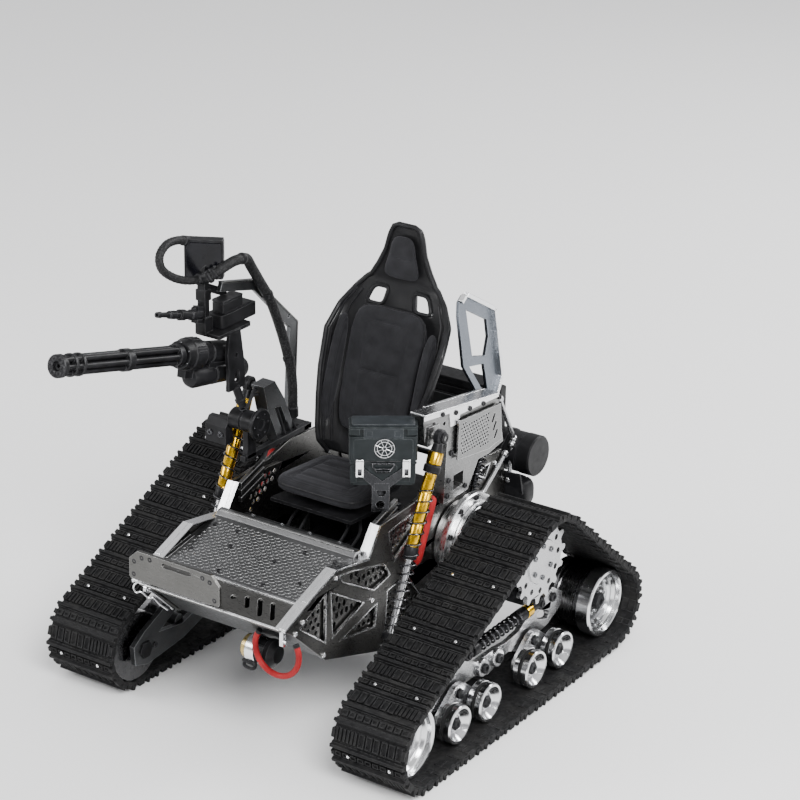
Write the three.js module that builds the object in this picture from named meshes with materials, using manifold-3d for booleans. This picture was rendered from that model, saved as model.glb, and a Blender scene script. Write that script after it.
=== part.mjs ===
// A one-person tracked tank chassis in scale-model size: two triangular track pods on a driven
// hub each, an aluminium tub with a tread-plate footplate, a bucket seat and a side turret arm.
// Millimetres, +Z up, the footplate points to -Y and +X is the occupant's left.
import * as THREE from "three";
import { mergeVertices } from "three/addons/utils/BufferGeometryUtils.js";
import Module from "manifold-3d";

const wasm = await Module();
wasm.setup();

// ---------- driving dimensions ----------
const GAP = 0.4; // running clearance between pieces that move past each other
const SKIN = 0.3; // clearance between pieces that are bolted face to face

const TRACK = { inner: 71, outer: 115, band: 2.4, height: 4.6, links: 28 };
const HUB = { y: 48.3, z: 78.2 };
const SPROCKET = { ...HUB, r: 24.5, teeth: 15, toothDepth: 3.2, drum: 15 };
const IDLER_R = 19.7;
const IDLER_FRONT = { y: -71.6, z: IDLER_R + TRACK.height, r: IDLER_R };
const IDLER_REAR = { y: 117.1, z: 26.2, r: IDLER_R };
const WHEEL_R = 11.25;
const WHEEL_Z = WHEEL_R + TRACK.height;
const WHEEL_YS = [-28.9, 0, 45.3, 72.7];
const WHEEL_FACE = 105.4; // outer faces of idlers and road wheels
const WHEEL_SINK = 0.65; // how far a road wheel stays off the belt, so that its bogie can rock

const TUB_HALF = 48.5; // outer face of the lower side plates
const PLATE = 3.5; // thickness of the lower side plates
const DECK_HALF = TUB_HALF - PLATE - SKIN;
const UPPER_IN = 53.4; // inner face of the upper side plates, which stand off the tub
const UPPER_OUT = UPPER_IN + 2.4;

const SHOCK = { x: 61.4, top: [13.2, 150.4], bottom: [-33.8, 44.7], r: 3.9, rod: 1.6, eye: 4.2 };
const SHOCK_BODY_END = 0.56; // share of the eye-to-eye length that the damper body takes
const BALL = 2; // radius of the pins in the shock eyes

const SEAT_HIP = [0, 37.5, 112];
const SEAT_TILT = 18; // degrees the backrest leans back
const CAMERA = { at: [-65, -19, 230.6], turn: 30, half: [10.2, 5, 10.8] };
const GUN = { x: -62, pivot: [-9.5, 176], tip: [-139.92, 209], r: 6 };

// ---------- materials ----------
function paint(color, roughness, metalness) {
  return new THREE.MeshStandardMaterial({ color, roughness, metalness });
}
const ALUMINIUM = paint(0xb9bcc0, 0.35, 1);
const DARK_METAL = paint(0x4a4e52, 0.45, 0.9);
const BLACK_METAL = paint(0x1c1d1f, 0.5, 0.6);
const RUBBER = paint(0x17181a, 0.75, 0);
const GOLD = paint(0xc9992b, 0.28, 1);
const STEEL = paint(0xd5d8dc, 0.15, 1);
const SPRING_STEEL = paint(0x222428, 0.4, 0.8);
const GREEN_GREY = paint(0x2f373a, 0.6, 0.2);
const BLACK_PLASTIC = paint(0x18191b, 0.55, 0);
const SEAT_FABRIC = paint(0x131417, 0.85, 0);
const BRASS = paint(0xb08a3c, 0.35, 1);
const RED = paint(0xc02624, 0.6, 0);

// ---------- solids ----------
function toSolid(geometry) {
  const bare = geometry.index ? geometry.toNonIndexed() : geometry.clone();
  bare.deleteAttribute("normal");
  bare.deleteAttribute("uv");
  const merged = mergeVertices(bare, 1e-4);
  const index = merged.index.array;
  const kept = [];
  for (let i = 0; i < index.length; i += 3) {
    const [a, b, c] = [index[i], index[i + 1], index[i + 2]];
    if (a !== b && b !== c && a !== c) kept.push(a, b, c);
  }
  const vertProperties = merged.attributes.position.array;
  const close = () => {
    const triVerts = new Uint32Array(kept);
    return new wasm.Manifold(new wasm.Mesh({ numProp: 3, vertProperties, triVerts }));
  };
  const made = close();
  if (made.volume() > 0) return made;
  kept.reverse();
  return close();
}

function toGeometry(made) {
  const mesh = made.getMesh();
  const geometry = new THREE.BufferGeometry();
  const positions = new Float32Array(mesh.numVert * 3);
  for (let i = 0; i < mesh.numVert; i++) {
    positions.set(mesh.vertProperties.subarray(i * mesh.numProp, i * mesh.numProp + 3), i * 3);
  }
  geometry.setAttribute("position", new THREE.BufferAttribute(positions, 3));
  geometry.setIndex(new THREE.BufferAttribute(new Uint32Array(mesh.triVerts), 1));
  return geometry;
}

function join(...solids) {
  return solids.reduce((a, b) => a.add(b));
}

function cut(first, ...others) {
  return others.reduce((a, b) => a.subtract(b), first);
}

// A closed outline of [a, b] points, extruded along one axis from low to high.
function prism(axis, points, low, high, placement = new THREE.Matrix4()) {
  const shape = new THREE.Shape(points.map(([a, b]) => new THREE.Vector2(a, b)));
  const geometry = new THREE.ExtrudeGeometry(shape, { depth: high - low, bevelEnabled: false });
  const turn = new THREE.Matrix4();
  if (axis === "x") turn.set(0, 0, 1, low, 1, 0, 0, 0, 0, 1, 0, 0, 0, 0, 0, 1);
  if (axis === "y") turn.set(1, 0, 0, 0, 0, 0, -1, high, 0, 1, 0, 0, 0, 0, 0, 1);
  if (axis === "z") turn.set(1, 0, 0, 0, 0, 1, 0, 0, 0, 0, 1, low, 0, 0, 0, 1);
  return toSolid(geometry.applyMatrix4(turn).applyMatrix4(placement));
}

function box(x, y, z) {
  const geometry = new THREE.BoxGeometry(x[1] - x[0], y[1] - y[0], z[1] - z[0]);
  geometry.translate((x[0] + x[1]) / 2, (y[0] + y[1]) / 2, (z[0] + z[1]) / 2);
  return toSolid(geometry);
}

function rod(from, to, radius, sides = 16) {
  const a = new THREE.Vector3(...from);
  const b = new THREE.Vector3(...to);
  const along = b.clone().sub(a);
  const geometry = new THREE.CylinderGeometry(radius, radius, along.length(), sides);
  const turn = new THREE.Quaternion().setFromUnitVectors(new THREE.Vector3(0, 1, 0), along.normalize());
  geometry.applyQuaternion(turn);
  geometry.translate(...a.add(b).divideScalar(2).toArray());
  return toSolid(geometry);
}

// A cylinder along X through the point (y, z).
function rodX(low, high, y, z, radius, sides = 16) {
  return rod([low, y, z], [high, y, z], radius, sides);
}

// A ring or wheel turned about X: the profile is [radius, x] points, closed on itself.
function turned(profile, y, z, segments) {
  const points = [...profile, profile[0]].map(([r, x]) => new THREE.Vector2(r, x));
  const geometry = new THREE.LatheGeometry(points, segments);
  geometry.rotateZ(-Math.PI / 2);
  geometry.translate(0, y, z);
  return toSolid(geometry);
}

function tube(points, radius, steps, sides = 8) {
  const path = new THREE.CatmullRomCurve3(points.map((p) => new THREE.Vector3(...p)));
  const outline = [];
  for (let i = 0; i < sides; i++) {
    const angle = (i / sides) * 2 * Math.PI;
    outline.push(new THREE.Vector2(radius * Math.cos(angle), radius * Math.sin(angle)));
  }
  const options = { steps, extrudePath: path, bevelEnabled: false };
  return toSolid(new THREE.ExtrudeGeometry(new THREE.Shape(outline), options));
}

function piece(name, made, material, parent) {
  const mesh = new THREE.Mesh(toGeometry(made), material);
  mesh.name = name;
  parent.add(mesh);
  return mesh;
}

// ---------- the belt's path round the wheels of a pod, in the (y, z) plane ----------
const LOOP = [
  IDLER_FRONT,
  SPROCKET,
  IDLER_REAR,
  { y: WHEEL_YS[3], z: WHEEL_Z, r: WHEEL_R },
  { y: WHEEL_YS[0], z: WHEEL_Z, r: WHEEL_R },
];

function beltPieces(circles) {
  const spans = circles.map((a, i) => {
    const b = circles[(i + 1) % circles.length];
    const distance = Math.hypot(b.y - a.y, b.z - a.z);
    const [dy, dz] = [(b.y - a.y) / distance, (b.z - a.z) / distance];
    const lean = (a.r - b.r) / distance;
    const rise = Math.sqrt(1 - lean * lean);
    return { a, b, ny: lean * dy - rise * dz, nz: lean * dz + rise * dy };
  });
  return spans.flatMap((span, i) => {
    const before = spans[(i + spans.length - 1) % spans.length];
    const start = Math.atan2(before.nz, before.ny);
    const end = Math.atan2(span.nz, span.ny);
    const sweep = (start - end + 4 * Math.PI) % (2 * Math.PI);
    const [y0, z0] = [span.a.y + span.a.r * span.ny, span.a.z + span.a.r * span.nz];
    const [y1, z1] = [span.b.y + span.b.r * span.ny, span.b.z + span.b.r * span.nz];
    const arc = { arc: true, centre: span.a, start, sweep, length: span.a.r * sweep };
    const line = { y0, z0, y1, z1, ny: span.ny, nz: span.nz, length: Math.hypot(y1 - y0, z1 - z0) };
    return [arc, line];
  });
}

function beltPoint(pieces, distance, offset) {
  const total = pieces.reduce((sum, p) => sum + p.length, 0);
  let left = ((distance % total) + total) % total;
  for (const p of pieces) {
    if (left <= p.length) {
      const share = left / p.length;
      if (p.arc) {
        const angle = p.start - p.sweep * share;
        const reach = p.centre.r + offset;
        return [p.centre.y + reach * Math.cos(angle), p.centre.z + reach * Math.sin(angle)];
      }
      return [p.y0 + (p.y1 - p.y0) * share + p.ny * offset, p.z0 + (p.z1 - p.z0) * share + p.nz * offset];
    }
    left -= p.length;
  }
  return [pieces[0].centre.y, pieces[0].centre.z];
}

// ---------- one track pod, drawn for the occupant's left ----------
const RIDGES = [0.2, 0.6]; // where a link's two grouser bars stand, as shares of its pitch
const RIDGE_FOOT = 1.7;
const RIDGE_TOP = 1;
const INNER_POINTS = 4; // inner belt points for each link

function trackBelt() {
  const pieces = beltPieces(LOOP);
  const pitch = pieces.reduce((sum, p) => sum + p.length, 0) / TRACK.links;
  const outer = [];
  const inner = [];
  for (let link = 0; link < TRACK.links; link++) {
    for (const ridge of RIDGES) {
      const centre = (link + ridge) * pitch;
      outer.push(beltPoint(pieces, centre - RIDGE_FOOT, TRACK.band));
      outer.push(beltPoint(pieces, centre - RIDGE_TOP, TRACK.height));
      outer.push(beltPoint(pieces, centre + RIDGE_TOP, TRACK.height));
      outer.push(beltPoint(pieces, centre + RIDGE_FOOT, TRACK.band));
    }
    for (let i = 0; i < INNER_POINTS; i++) {
      inner.push(beltPoint(pieces, (link + i / INNER_POINTS) * pitch, 0));
    }
  }
  const band = prism("x", outer, TRACK.inner, TRACK.outer);
  return cut(band, prism("x", inner, TRACK.inner - 1, TRACK.outer + 1));
}

const FRAME_IN = [66.6, 69.6]; // the inner pod plate
const FRAME_MID = [87.5, 90.5]; // the polished plate between sprocket discs and road wheels
const BOGIE_X = [92, 95];
const AXLE_R = 3;
const AXLE_BORE = AXLE_R + GAP;
const STUB_R = 2;
const PIN_R = 2.6;
const HUB_BORE = 5.4;
const BOGIE_PIVOT_Z = 24.5;

function podFrame() {
  const inner = prism("x", [
    [-80, 18], [-81, 29], [-72, 35], [-36, 51], [26, 92], [38, 100], [58, 100], [70, 93], [122, 35],
    [126, 25], [118, 17], [98, 20], [60, 42], [20, 36], [-40, 18], [-70, 15],
  ], ...FRAME_IN);
  const middle = prism("x", [
    [-50, 20], [-50, 31], [-40, 36], [-14, 34], [20, 44], [42, 58], [60, 57], [84, 45], [95, 38], [93, 30],
    [70, 21], [48, 21], [28, 27], [0, 28.5], [-5, 19.5], [-24, 19.5],
  ], ...FRAME_MID);
  const barrel = rodX(FRAME_IN[0] - 1.2, 75.5, HUB.y, HUB.z, 16, 20);
  const parts = [
    middle, barrel,
    rodX(FRAME_IN[0], FRAME_MID[1], -40, 28, 3.5, 10),
    rodX(FRAME_IN[0], FRAME_MID[1], 84, 39, 3.5, 10),
    rodX(SHOCK.x - 4, FRAME_IN[1], ...SHOCK.bottom, BALL, 10),
  ];
  for (const idler of [IDLER_FRONT, IDLER_REAR]) {
    parts.push(rodX(FRAME_IN[0], 100, idler.y, idler.z, AXLE_R, 12));
    parts.push(rodX(99.5, 102.5, idler.y, idler.z, 4.6, 6));
  }
  for (const y of bogiePivots()) {
    parts.push(rodX(FRAME_MID[0], BOGIE_X[1] + 1.5, y, BOGIE_PIVOT_Z, PIN_R, 10));
  }
  return cut(join(inner, ...parts), rodX(FRAME_IN[0] - 3, 77, HUB.y, HUB.z, HUB_BORE));
}

function bogiePivots() {
  return [(WHEEL_YS[0] + WHEEL_YS[1]) / 2, (WHEEL_YS[2] + WHEEL_YS[3]) / 2];
}

function bogie(front, rear) {
  const middle = (front + rear) / 2;
  const arm = prism("x", [
    [front - 4, WHEEL_Z - 3], [front - 4, WHEEL_Z + 3],
    [middle - 5, BOGIE_PIVOT_Z + 5], [middle + 5, BOGIE_PIVOT_Z + 5],
    [rear + 4, WHEEL_Z + 3], [rear + 4, WHEEL_Z - 3], [middle + 6, WHEEL_Z - 1], [middle - 6, WHEEL_Z - 1],
  ], ...BOGIE_X);
  const stubs = [front, rear].flatMap((y) => [
    rodX(BOGIE_X[1] - 1, 102.4, y, WHEEL_Z, STUB_R, 10),
    rodX(102, 104, y, WHEEL_Z, 3.6, 6),
  ]);
  return cut(join(arm, ...stubs), rodX(90, 97, middle, BOGIE_PIVOT_Z, PIN_R + GAP, 10));
}

function roadWheel(y) {
  const rim = WHEEL_R - WHEEL_SINK;
  const bore = STUB_R + GAP;
  const profile = [
    [bore, 96.2], [rim, 96.2], [rim, 100], [rim - 1.2, 100.3], [rim - 1.2, 101.3], [rim, 101.6],
    [rim, WHEEL_FACE], [rim - 1.6, WHEEL_FACE], [5, 101.5], [bore, 101.5],
  ];
  return turned(profile, y, WHEEL_Z, 14);
}

function idler(at, inside) {
  const rim = at.r - GAP;
  const drum = rim - 3.2;
  const profile = [
    [AXLE_BORE, inside], [rim, inside], [rim, inside + 6], [drum, inside + 7], [drum, 96.5], [rim, 97],
    [rim, WHEEL_FACE], [rim - 2.4, WHEEL_FACE], [8, 99], [AXLE_BORE, 99],
  ];
  return turned(profile, at.y, at.z, 22);
}

const SPROCKET_DISCS = [[77, 79.4], [101.4, 103.8]];

function toothedDisc(low, high) {
  const tip = SPROCKET.r - GAP;
  const root = tip - SPROCKET.toothDepth;
  const outline = [];
  const step = (2 * Math.PI) / SPROCKET.teeth;
  for (let i = 0; i < SPROCKET.teeth; i++) {
    for (const [share, r] of [[-0.3, root], [-0.1, tip], [0.1, tip], [0.3, root]]) {
      const angle = (i + share) * step;
      outline.push([HUB.y + r * Math.cos(angle), HUB.z + r * Math.sin(angle)]);
    }
  }
  return prism("x", outline, low, high);
}

function sprocket() {
  const [inside, outside] = SPROCKET_DISCS;
  const drum = rodX(inside[0], outside[1] + 1.2, HUB.y, HUB.z, SPROCKET.drum, 18);
  const axle = rodX(45.2, inside[1], HUB.y, HUB.z, HUB_BORE - GAP);
  return join(toothedDisc(...inside), toothedDisc(...outside), drum, axle);
}

// A point on the shock's centre line: 0 is the upper eye and 1 the lower one.
function onShock(share) {
  const [[y0, z0], [y1, z1]] = [SHOCK.top, SHOCK.bottom];
  return [SHOCK.x, y0 + (y1 - y0) * share, z0 + (z1 - z0) * share];
}

function shockBody() {
  const shell = join(
    rod(onShock(0.1), onShock(SHOCK_BODY_END), SHOCK.r - 0.5, 12),
    rod(onShock(0.1), onShock(0.17), SHOCK.r + 0.3, 12),
    rod(onShock(0.03), onShock(0.12), 2.4, 8),
    rodX(SHOCK.x - 2.2, SHOCK.x + 2.2, ...SHOCK.top, SHOCK.eye, 12),
  );
  return cut(shell, rod(onShock(0.34), onShock(0.62), SHOCK.rod + GAP, 10),
    rodX(SHOCK.x - 4, SHOCK.x + 4, ...SHOCK.top, BALL + GAP, 10));
}

function shockShaft() {
  const shaft = join(
    rod(onShock(0.41), onShock(0.93), SHOCK.rod, 8),
    rod(onShock(0.9), onShock(0.93), SHOCK.r + 0.2, 12),
    rod(onShock(0.92), onShock(0.975), 2.4, 8),
    rodX(SHOCK.x - 2.4, SHOCK.x + 2.4, ...SHOCK.bottom, SHOCK.eye + 0.8, 12),
  );
  return cut(shaft, rodX(SHOCK.x - 4, SHOCK.x + 4, ...SHOCK.bottom, BALL + 1.2, 10));
}

function shockSpring() {
  const sleeve = rod(onShock(0.2), onShock(0.893), SHOCK.r + 0.5, 12);
  return cut(sleeve, rod(onShock(0.15), onShock(0.95), SHOCK.r - 0.2, 12));
}

function buildPod(side, mirrored) {
  const pod = new THREE.Group();
  if (mirrored) pod.scale.x = -1;
  const add = (name, made, material) => piece(`${name}_${side}`, made, material, pod);
  add("pod_frame", podFrame(), ALUMINIUM);
  add("track_belt", trackBelt(), RUBBER);
  add("sprocket", sprocket(), ALUMINIUM);
  add("idler_front", idler(IDLER_FRONT, 72.4), ALUMINIUM);
  add("idler_rear", idler(IDLER_REAR, 76), ALUMINIUM);
  WHEEL_YS.forEach((y, i) => add(`road_wheel_${i + 1}`, roadWheel(y), ALUMINIUM));
  add("bogie_front", bogie(WHEEL_YS[0], WHEEL_YS[1]), ALUMINIUM);
  add("bogie_rear", bogie(WHEEL_YS[2], WHEEL_YS[3]), ALUMINIUM);
  add("shock_body", shockBody(), GOLD);
  add("shock_shaft", shockShaft(), STEEL);
  add("shock_spring", shockSpring(), SPRING_STEEL);
  return pod;
}

// ---------- the tub ----------
const NOSE = [-102.7, 82.7];
const DECK_FRONT = [-84, 90.4];
const DECK_BREAK = [-60, 99.4];
const DECK_REAR = [-31, 94.8];

function sideTruss() {
  const plate = prism("x", [
    NOSE, DECK_FRONT, DECK_BREAK, DECK_REAR, [-20.7, 109.3], [10, 111], [30, 116], [95, 112], [104, 80],
    [96, 42], [-14, 35.1], [-68.3, 52.4], [-95.2, 77.4],
  ].reverse(), TUB_HALF - PLATE, TUB_HALF);
  const bolts = PLATE_FEET.map(([y, z]) => rodX(TUB_HALF - 1.4, TUB_HALF + 1, y, z, 3, 8));
  return cut(plate, rodX(40, 52, HUB.y, HUB.z, HUB_BORE), ...bolts);
}

const PLATE_FEET = [[32, 109], [45, 109]];

function standOff(plate) {
  const pin = rodX(UPPER_IN, SHOCK.x + 3.6, ...SHOCK.top, BALL, 10);
  const feet = PLATE_FEET.map(([y, z]) => rodX(TUB_HALF - 0.8, UPPER_IN + 1, y, z, 2.6, 8));
  return join(plate, pin, ...feet);
}

function upperSidePlate() {
  return standOff(prism("x", [
    [6, 163.5], [77, 152.8], [84.5, 122.2], [71, 119.8], [60, 120], [50, 106], [27, 106], [29.4, 146],
    [8, 145.5],
  ].reverse(), UPPER_IN, UPPER_OUT));
}

// The turret side has no room for a full plate: a low gusset carries the damper there.
function shockBracket() {
  return standOff(prism("x", [
    [8, 153], [18, 153.5], [27, 140], [38, 114.5], [51, 113.5], [51, 105.5], [27, 105.5], [12, 138],
  ].reverse(), UPPER_IN, UPPER_OUT));
}

function hubFlange() {
  const spigot = rodX(TUB_HALF + SKIN, 56.4, HUB.y, HUB.z, 20, 20);
  const wide = rodX(56.2, 60.4, HUB.y, HUB.z, 26.5, 26);
  const narrow = rodX(60.2, 65, HUB.y, HUB.z, 24, 26);
  return cut(join(spigot, wide, narrow), rodX(47, 67, HUB.y, HUB.z, HUB_BORE));
}

// The sheet that closes the tub from below, drawn as a bent strip of constant thickness.
function floorPan() {
  const outline = [
    [-92, 76.2], [-67.6, 52.8], [-14, 35.6], [95, 42], [102.5, 78], [100.2, 78], [93, 44.5], [-13.8, 38.2],
    [-66.4, 55], [-90.4, 77.6],
  ];
  const pan = prism("x", outline, -DECK_HALF, DECK_HALF);
  const post = box([-14, 14], [10, 34], [37.5, 58]);
  return join(pan, post, box([-20, 20], [4, 40], [56, 58.5]));
}

function footplate() {
  const front = DECK_FRONT[1] - 1.4;
  const outline = [
    [-83.6, front - 2], [-83.6, front], [-38, 97], [-36, 99.5], [-32, 99.5], [-32, 96.5], [-34, 94.6],
  ];
  return prism("x", outline.reverse(), -DECK_HALF, DECK_HALF);
}

function frontPanel() {
  const outline = [[-84.4, 88.6], [-84.4, 86.6], [-93, 78.4], [-95.6, 77.6], [-102.6, 82.4]];
  return prism("x", outline, -DECK_HALF, DECK_HALF);
}

function bumperPlate() {
  const outline = [[-48, 85.6], [10, 85.6], [10, 96.5], [5, 102], [-42.5, 102], [-48, 97]];
  const plate = prism("y", outline, -105.4, -103.2);
  const tab = [[-103.4, 84.2], [-97, 86.4], [-97, 88.4], [-103.4, 88.4]];
  const tabs = [-38, 0].map((x) => prism("x", tab, x - 3, x + 3));
  return join(plate, ...tabs);
}

function gearCase() {
  const housing = box([-30, 30], [26, 70], [60, 96]);
  const motors = [-1, 1].map((s) => rod([s * 12, 27, 70], [s * 12, -2, 70], 9, 20));
  const noses = rodX(-44, 44, HUB.y, HUB.z, 11, 20);
  return join(housing, noses, ...motors);
}

function batteryPack() {
  return box([-34, 34], [-52, -8], [64, 84]);
}

// ---------- the seat ----------
const SEAT_NECK = 98; // height along the backrest where the headrest nods forward
const SEAT_NOD = 13; // degrees

function bothSides(half) {
  return [...half, ...half.map(([x, u]) => [-x, u]).reverse()];
}

function outlineSeatBack() {
  return bothSides([[27, 0], [31, 20], [36, 45], [38, 66], [36, 80], [29.5, 91], [22, 99.4]]);
}

function outlineHeadrest() {
  return bothSides([[22.4, 0], [17, 8], [13, 16], [10.8, 25], [8.5, 30], [5, 31.5]]);
}

function seatGroup() {
  const group = new THREE.Group();
  group.position.set(...SEAT_HIP);
  group.rotation.x = THREE.MathUtils.degToRad(-SEAT_TILT);
  return group;
}

function seatShell() {
  const back = prism("y", outlineSeatBack(), 0, 5);
  const nod = new THREE.Matrix4().makeTranslation(0, 0, SEAT_NECK);
  nod.multiply(new THREE.Matrix4().makeRotationX(THREE.MathUtils.degToRad(SEAT_NOD)));
  const head = prism("y", outlineHeadrest(), 0, 5, nod);
  const holes = [-1, 1].map((s) => prism("y", [
    [s * 7.5, 86.5], [s * 8, 96.5], [s * 16, 96.5], [s * 20, 88.5],
  ], -2, 8));
  const wings = [-1, 1].map((s) => prism("x", [
    [1, 6], [-13, 2], [-13, 30], [-10, 66], [-4, 78], [1, 82],
  ], s > 0 ? 32.5 : -35.5, s > 0 ? 35.5 : -32.5));
  return join(cut(join(back, head), ...holes), ...wings);
}

function buildSeat(root) {
  const back = seatGroup();
  piece("seat_shell", seatShell(), BLACK_PLASTIC, back);
  const padOutline = bothSides([[21, 14], [23.5, 40], [24, 66], [20, 84]]);
  piece("seat_back_pad", prism("y", padOutline, -8, -SKIN), SEAT_FABRIC, back);
  for (const [side, s] of [["left", 1], ["right", -1]]) {
    const bolster = prism("z", [[s * 25, -SKIN], [s * 32, -SKIN], [s * 32, -12], [s * 28, -10]], 14, 76);
    piece(`seat_bolster_${side}`, bolster, SEAT_FABRIC, back);
  }
  root.add(back);
  const pan = [[-14, 116], [10, 113.5], [37, 111], [38, 104], [30, 101], [-12, 104]];
  piece("seat_cushion", prism("x", pan.reverse(), -27, 27), SEAT_FABRIC, root);
}

function seatBase() {
  const pan = prism("x", [[-15, 101.5], [-15, 103.4], [29.5, 100.4], [29.5, 98.4]].reverse(), -26, 26);
  return join(pan, box([-22, 22], [4, 24], [98, 101]));
}

// ---------- behind the seat ----------
function rearFrame() {
  const cross = box([-DECK_HALF, DECK_HALF], [88, 91], [113, 138.5]);
  const outline = [
    [58, 206], [62, 209], [90, 193], [93, 180], [99, 152], [92, 138], [86, 138], [64, 168], [58, 198],
  ];
  const brace = prism("x", outline.reverse(), 40, 42.5);
  const window = prism("x", [[66, 198], [86, 187], [88, 178], [72, 170]].reverse(), 36, 44);
  const edge = [[90, 193], [93, 180], [99, 152], [96, 152], [90.2, 180], [87.4, 191]];
  const lip = prism("x", edge.reverse(), 40, 45);
  return join(cut(brace, window), lip, cross);
}

function rearCanister() {
  return rodX(14, 62, 112, 105, 11.5, 28);
}

function electronicsBox() {
  return box([-24, 36], [92, 106], [118, 147]);
}

// ---------- the ammunition-style box in front of the seat ----------
const AMMO = {
  corner: [29.7, -21.4], turn: 36.5, width: 33.5, depth: 12.5, low: 127.4, split: 141, high: 161,
};

function ammoGroup() {
  const group = new THREE.Group();
  group.position.set(AMMO.corner[0], AMMO.corner[1], 0);
  group.rotation.z = THREE.MathUtils.degToRad(AMMO.turn);
  return group;
}

function ammoBody() {
  const walls = box([0, AMMO.width], [0, AMMO.depth], [AMMO.low, AMMO.split]);
  const hollow = box([2, AMMO.width - 2], [2, AMMO.depth - 2], [AMMO.low + 3, AMMO.split + 2]);
  const foot = prism("x", [[2, AMMO.low + 1], [10, AMMO.low + 1], [8, 111.4], [4, 111.4]].reverse(), 11, 21);
  return join(cut(walls, hollow), foot);
}

function ammoLid() {
  const lid = box([-1, AMMO.width + 1], [-1, AMMO.depth + 1], [AMMO.split + SKIN, AMMO.high]);
  const step = box([-3, AMMO.width + 3], [-3, 1], [AMMO.high - 3.5, AMMO.high + 4]);
  return cut(lid, step);
}

function buildAmmoBox(root) {
  const group = ammoGroup();
  piece("ammo_box", ammoBody(), GREEN_GREY, group);
  piece("ammo_lid", ammoLid(), GREEN_GREY, group);
  [4.8, AMMO.width - 4.8].forEach((x, i) => {
    const latch = box([x - 2, x + 2], [-2.8, -1.4], [AMMO.split - 8.4, AMMO.split + 1.6]);
    piece(`ammo_latch_${i + 1}`, latch, STEEL, group);
  });
  root.add(group);
}

// ---------- winch under the nose ----------
const WINCH = { y: -81.7, z: 55, r: 6.4, cap: 7.6 };
const STRAP = { x: 35, y: -91.2, z: 63.3, bend: 13.6, r: 1.6, from: 145, to: 388 }; // degrees

function winchMotor() {
  const { y, z, r, cap } = WINCH;
  return join(rodX(9, 29, y, z, r, 14), rodX(12, 15, y, z, cap, 14), rodX(23, 26, y, z, cap, 14));
}

// The strap hangs as an open loop; both of its ends stop just under the nose.
function towStrap() {
  const { x, y, z, bend, r, from, to } = STRAP;
  const points = [];
  for (let angle = from; angle <= to; angle += (to - from) / 12) {
    const turn = THREE.MathUtils.degToRad(angle);
    points.push([x + bend * Math.cos(turn), y, z + bend * Math.sin(turn)]);
  }
  return tube(points, r, 24);
}

// ---------- the turret on the occupant's right ----------
const DRUM = { y: -6, z: 138.5, r: 6, disc: 8.6 };
const HOSE_R = 2.9;
const STEM_CLEARANCE = 1.4; // room under the leaning stem, so that the turret can swing
const RAIL = { x: [-48.3, -45], z: [117, 120.4] };

// The turret's fixed part: a rail on the side plate, the pivot drum in front and the gooseneck bar behind.
function turretArm() {
  const neck = prism("x", [
    [-17, 212.5], [12, 205], [44, 174], [41, 117], [48, 117], [51, 176], [14, 210.5], [-15, 217.4],
  ], -59.6, -56.4);
  const foot = box([-57, RAIL.x[1]], [41, 48], RAIL.z);
  const rail = box(RAIL.x, [-12, 48], RAIL.z);
  const riser = box(RAIL.x, [-10, -2], [RAIL.z[0], DRUM.z]);
  const drum = rodX(-57.4, -40, DRUM.y, DRUM.z, DRUM.r, 14);
  const disc = rodX(-41, -38.6, DRUM.y, DRUM.z, DRUM.disc, 16);
  const bracket = prism("x", [[-13, 124], [-6.6, 124], [-6.6, 138], [-10, 138], [-13, 134]], -71, -57);
  return join(neck, foot, rail, riser, drum, disc, bracket);
}

function turretPost() {
  const { x } = GUN;
  const stem = rod([-51, DRUM.y, DRUM.z + DRUM.r + STEM_CLEARANCE], [-53, -9.4, 158], 2.6, 10);
  const yoke = box([-54.4, -52], [-17, -2], [156.5, 190]);
  const upper = box([x - 7, -52], [-24, 4], [188.6, 191]);
  const mid = box([x - 5, x + 5], [-14, 13], [190.6, 199]);
  const small = box([x - 3, x + 5], [-14, 3], [198.6, 206]);
  const post = box([x - 4, x], [-24, -20], [187.6, CAMERA.at[2]]);
  const pointer = rod([x - 2, -24, 200], [x - 2, -60, 211], 2.6, 8);
  return join(stem, yoke, upper, mid, small, post, pointer, grip(), swivel(), cameraBox());
}

// The looped hand grip beside the screen.
function grip() {
  return tube([
    [-72, -25, 239], [-68, -46, 245], [-66, -56, 242], [-65, -55, 233], [-64, -42, 224], [-64, -24, 221],
  ], 2.3, 14, 6);
}

// The short hose that ends on the turret's own turning axis, where the fixed hose takes over.
function swivel() {
  return tube([
    [-64, -24, 221], [-59, -24, 222], [-54.5, -20, 226], [-51.6, -13, 229], [-51, DRUM.y - 1.1, 229],
  ], HOSE_R, 12);
}

function cameraBox() {
  const turn = new THREE.Matrix4().makeTranslation(...CAMERA.at);
  turn.multiply(new THREE.Matrix4().makeRotationZ(THREE.MathUtils.degToRad(CAMERA.turn)));
  const [half, deep, tall] = CAMERA.half;
  const outline = [[-half, -deep], [half, -deep], [half, deep], [-half, deep]];
  return prism("z", outline, -tall, tall, turn);
}

// A point on the gun's bore line, t millimetres forward of its pivot.
function alongGun(t) {
  const [y, z] = [GUN.tip[0] - GUN.pivot[0], GUN.tip[1] - GUN.pivot[1]];
  const length = Math.hypot(y, z);
  return [GUN.x, GUN.pivot[0] + (y / length) * t, GUN.pivot[1] + (z / length) * t];
}

function gunCradle() {
  const { x, pivot: [y, z] } = GUN;
  const housing = rod(alongGun(21), alongGun(37), 8.8, 16);
  const gearbox = rod(alongGun(0), alongGun(22), 6.2, 12);
  const motor = rod([x, 8, 162], [x, -38, 170], 6, 12);
  const web = box([x - 4, x + 4], [-26, -4], [z - 9, z]);
  const trunnion = rodX(x, -54.4 - SKIN, y, z, 3, 10);
  return join(housing, gearbox, motor, web, trunnion);
}

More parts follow.
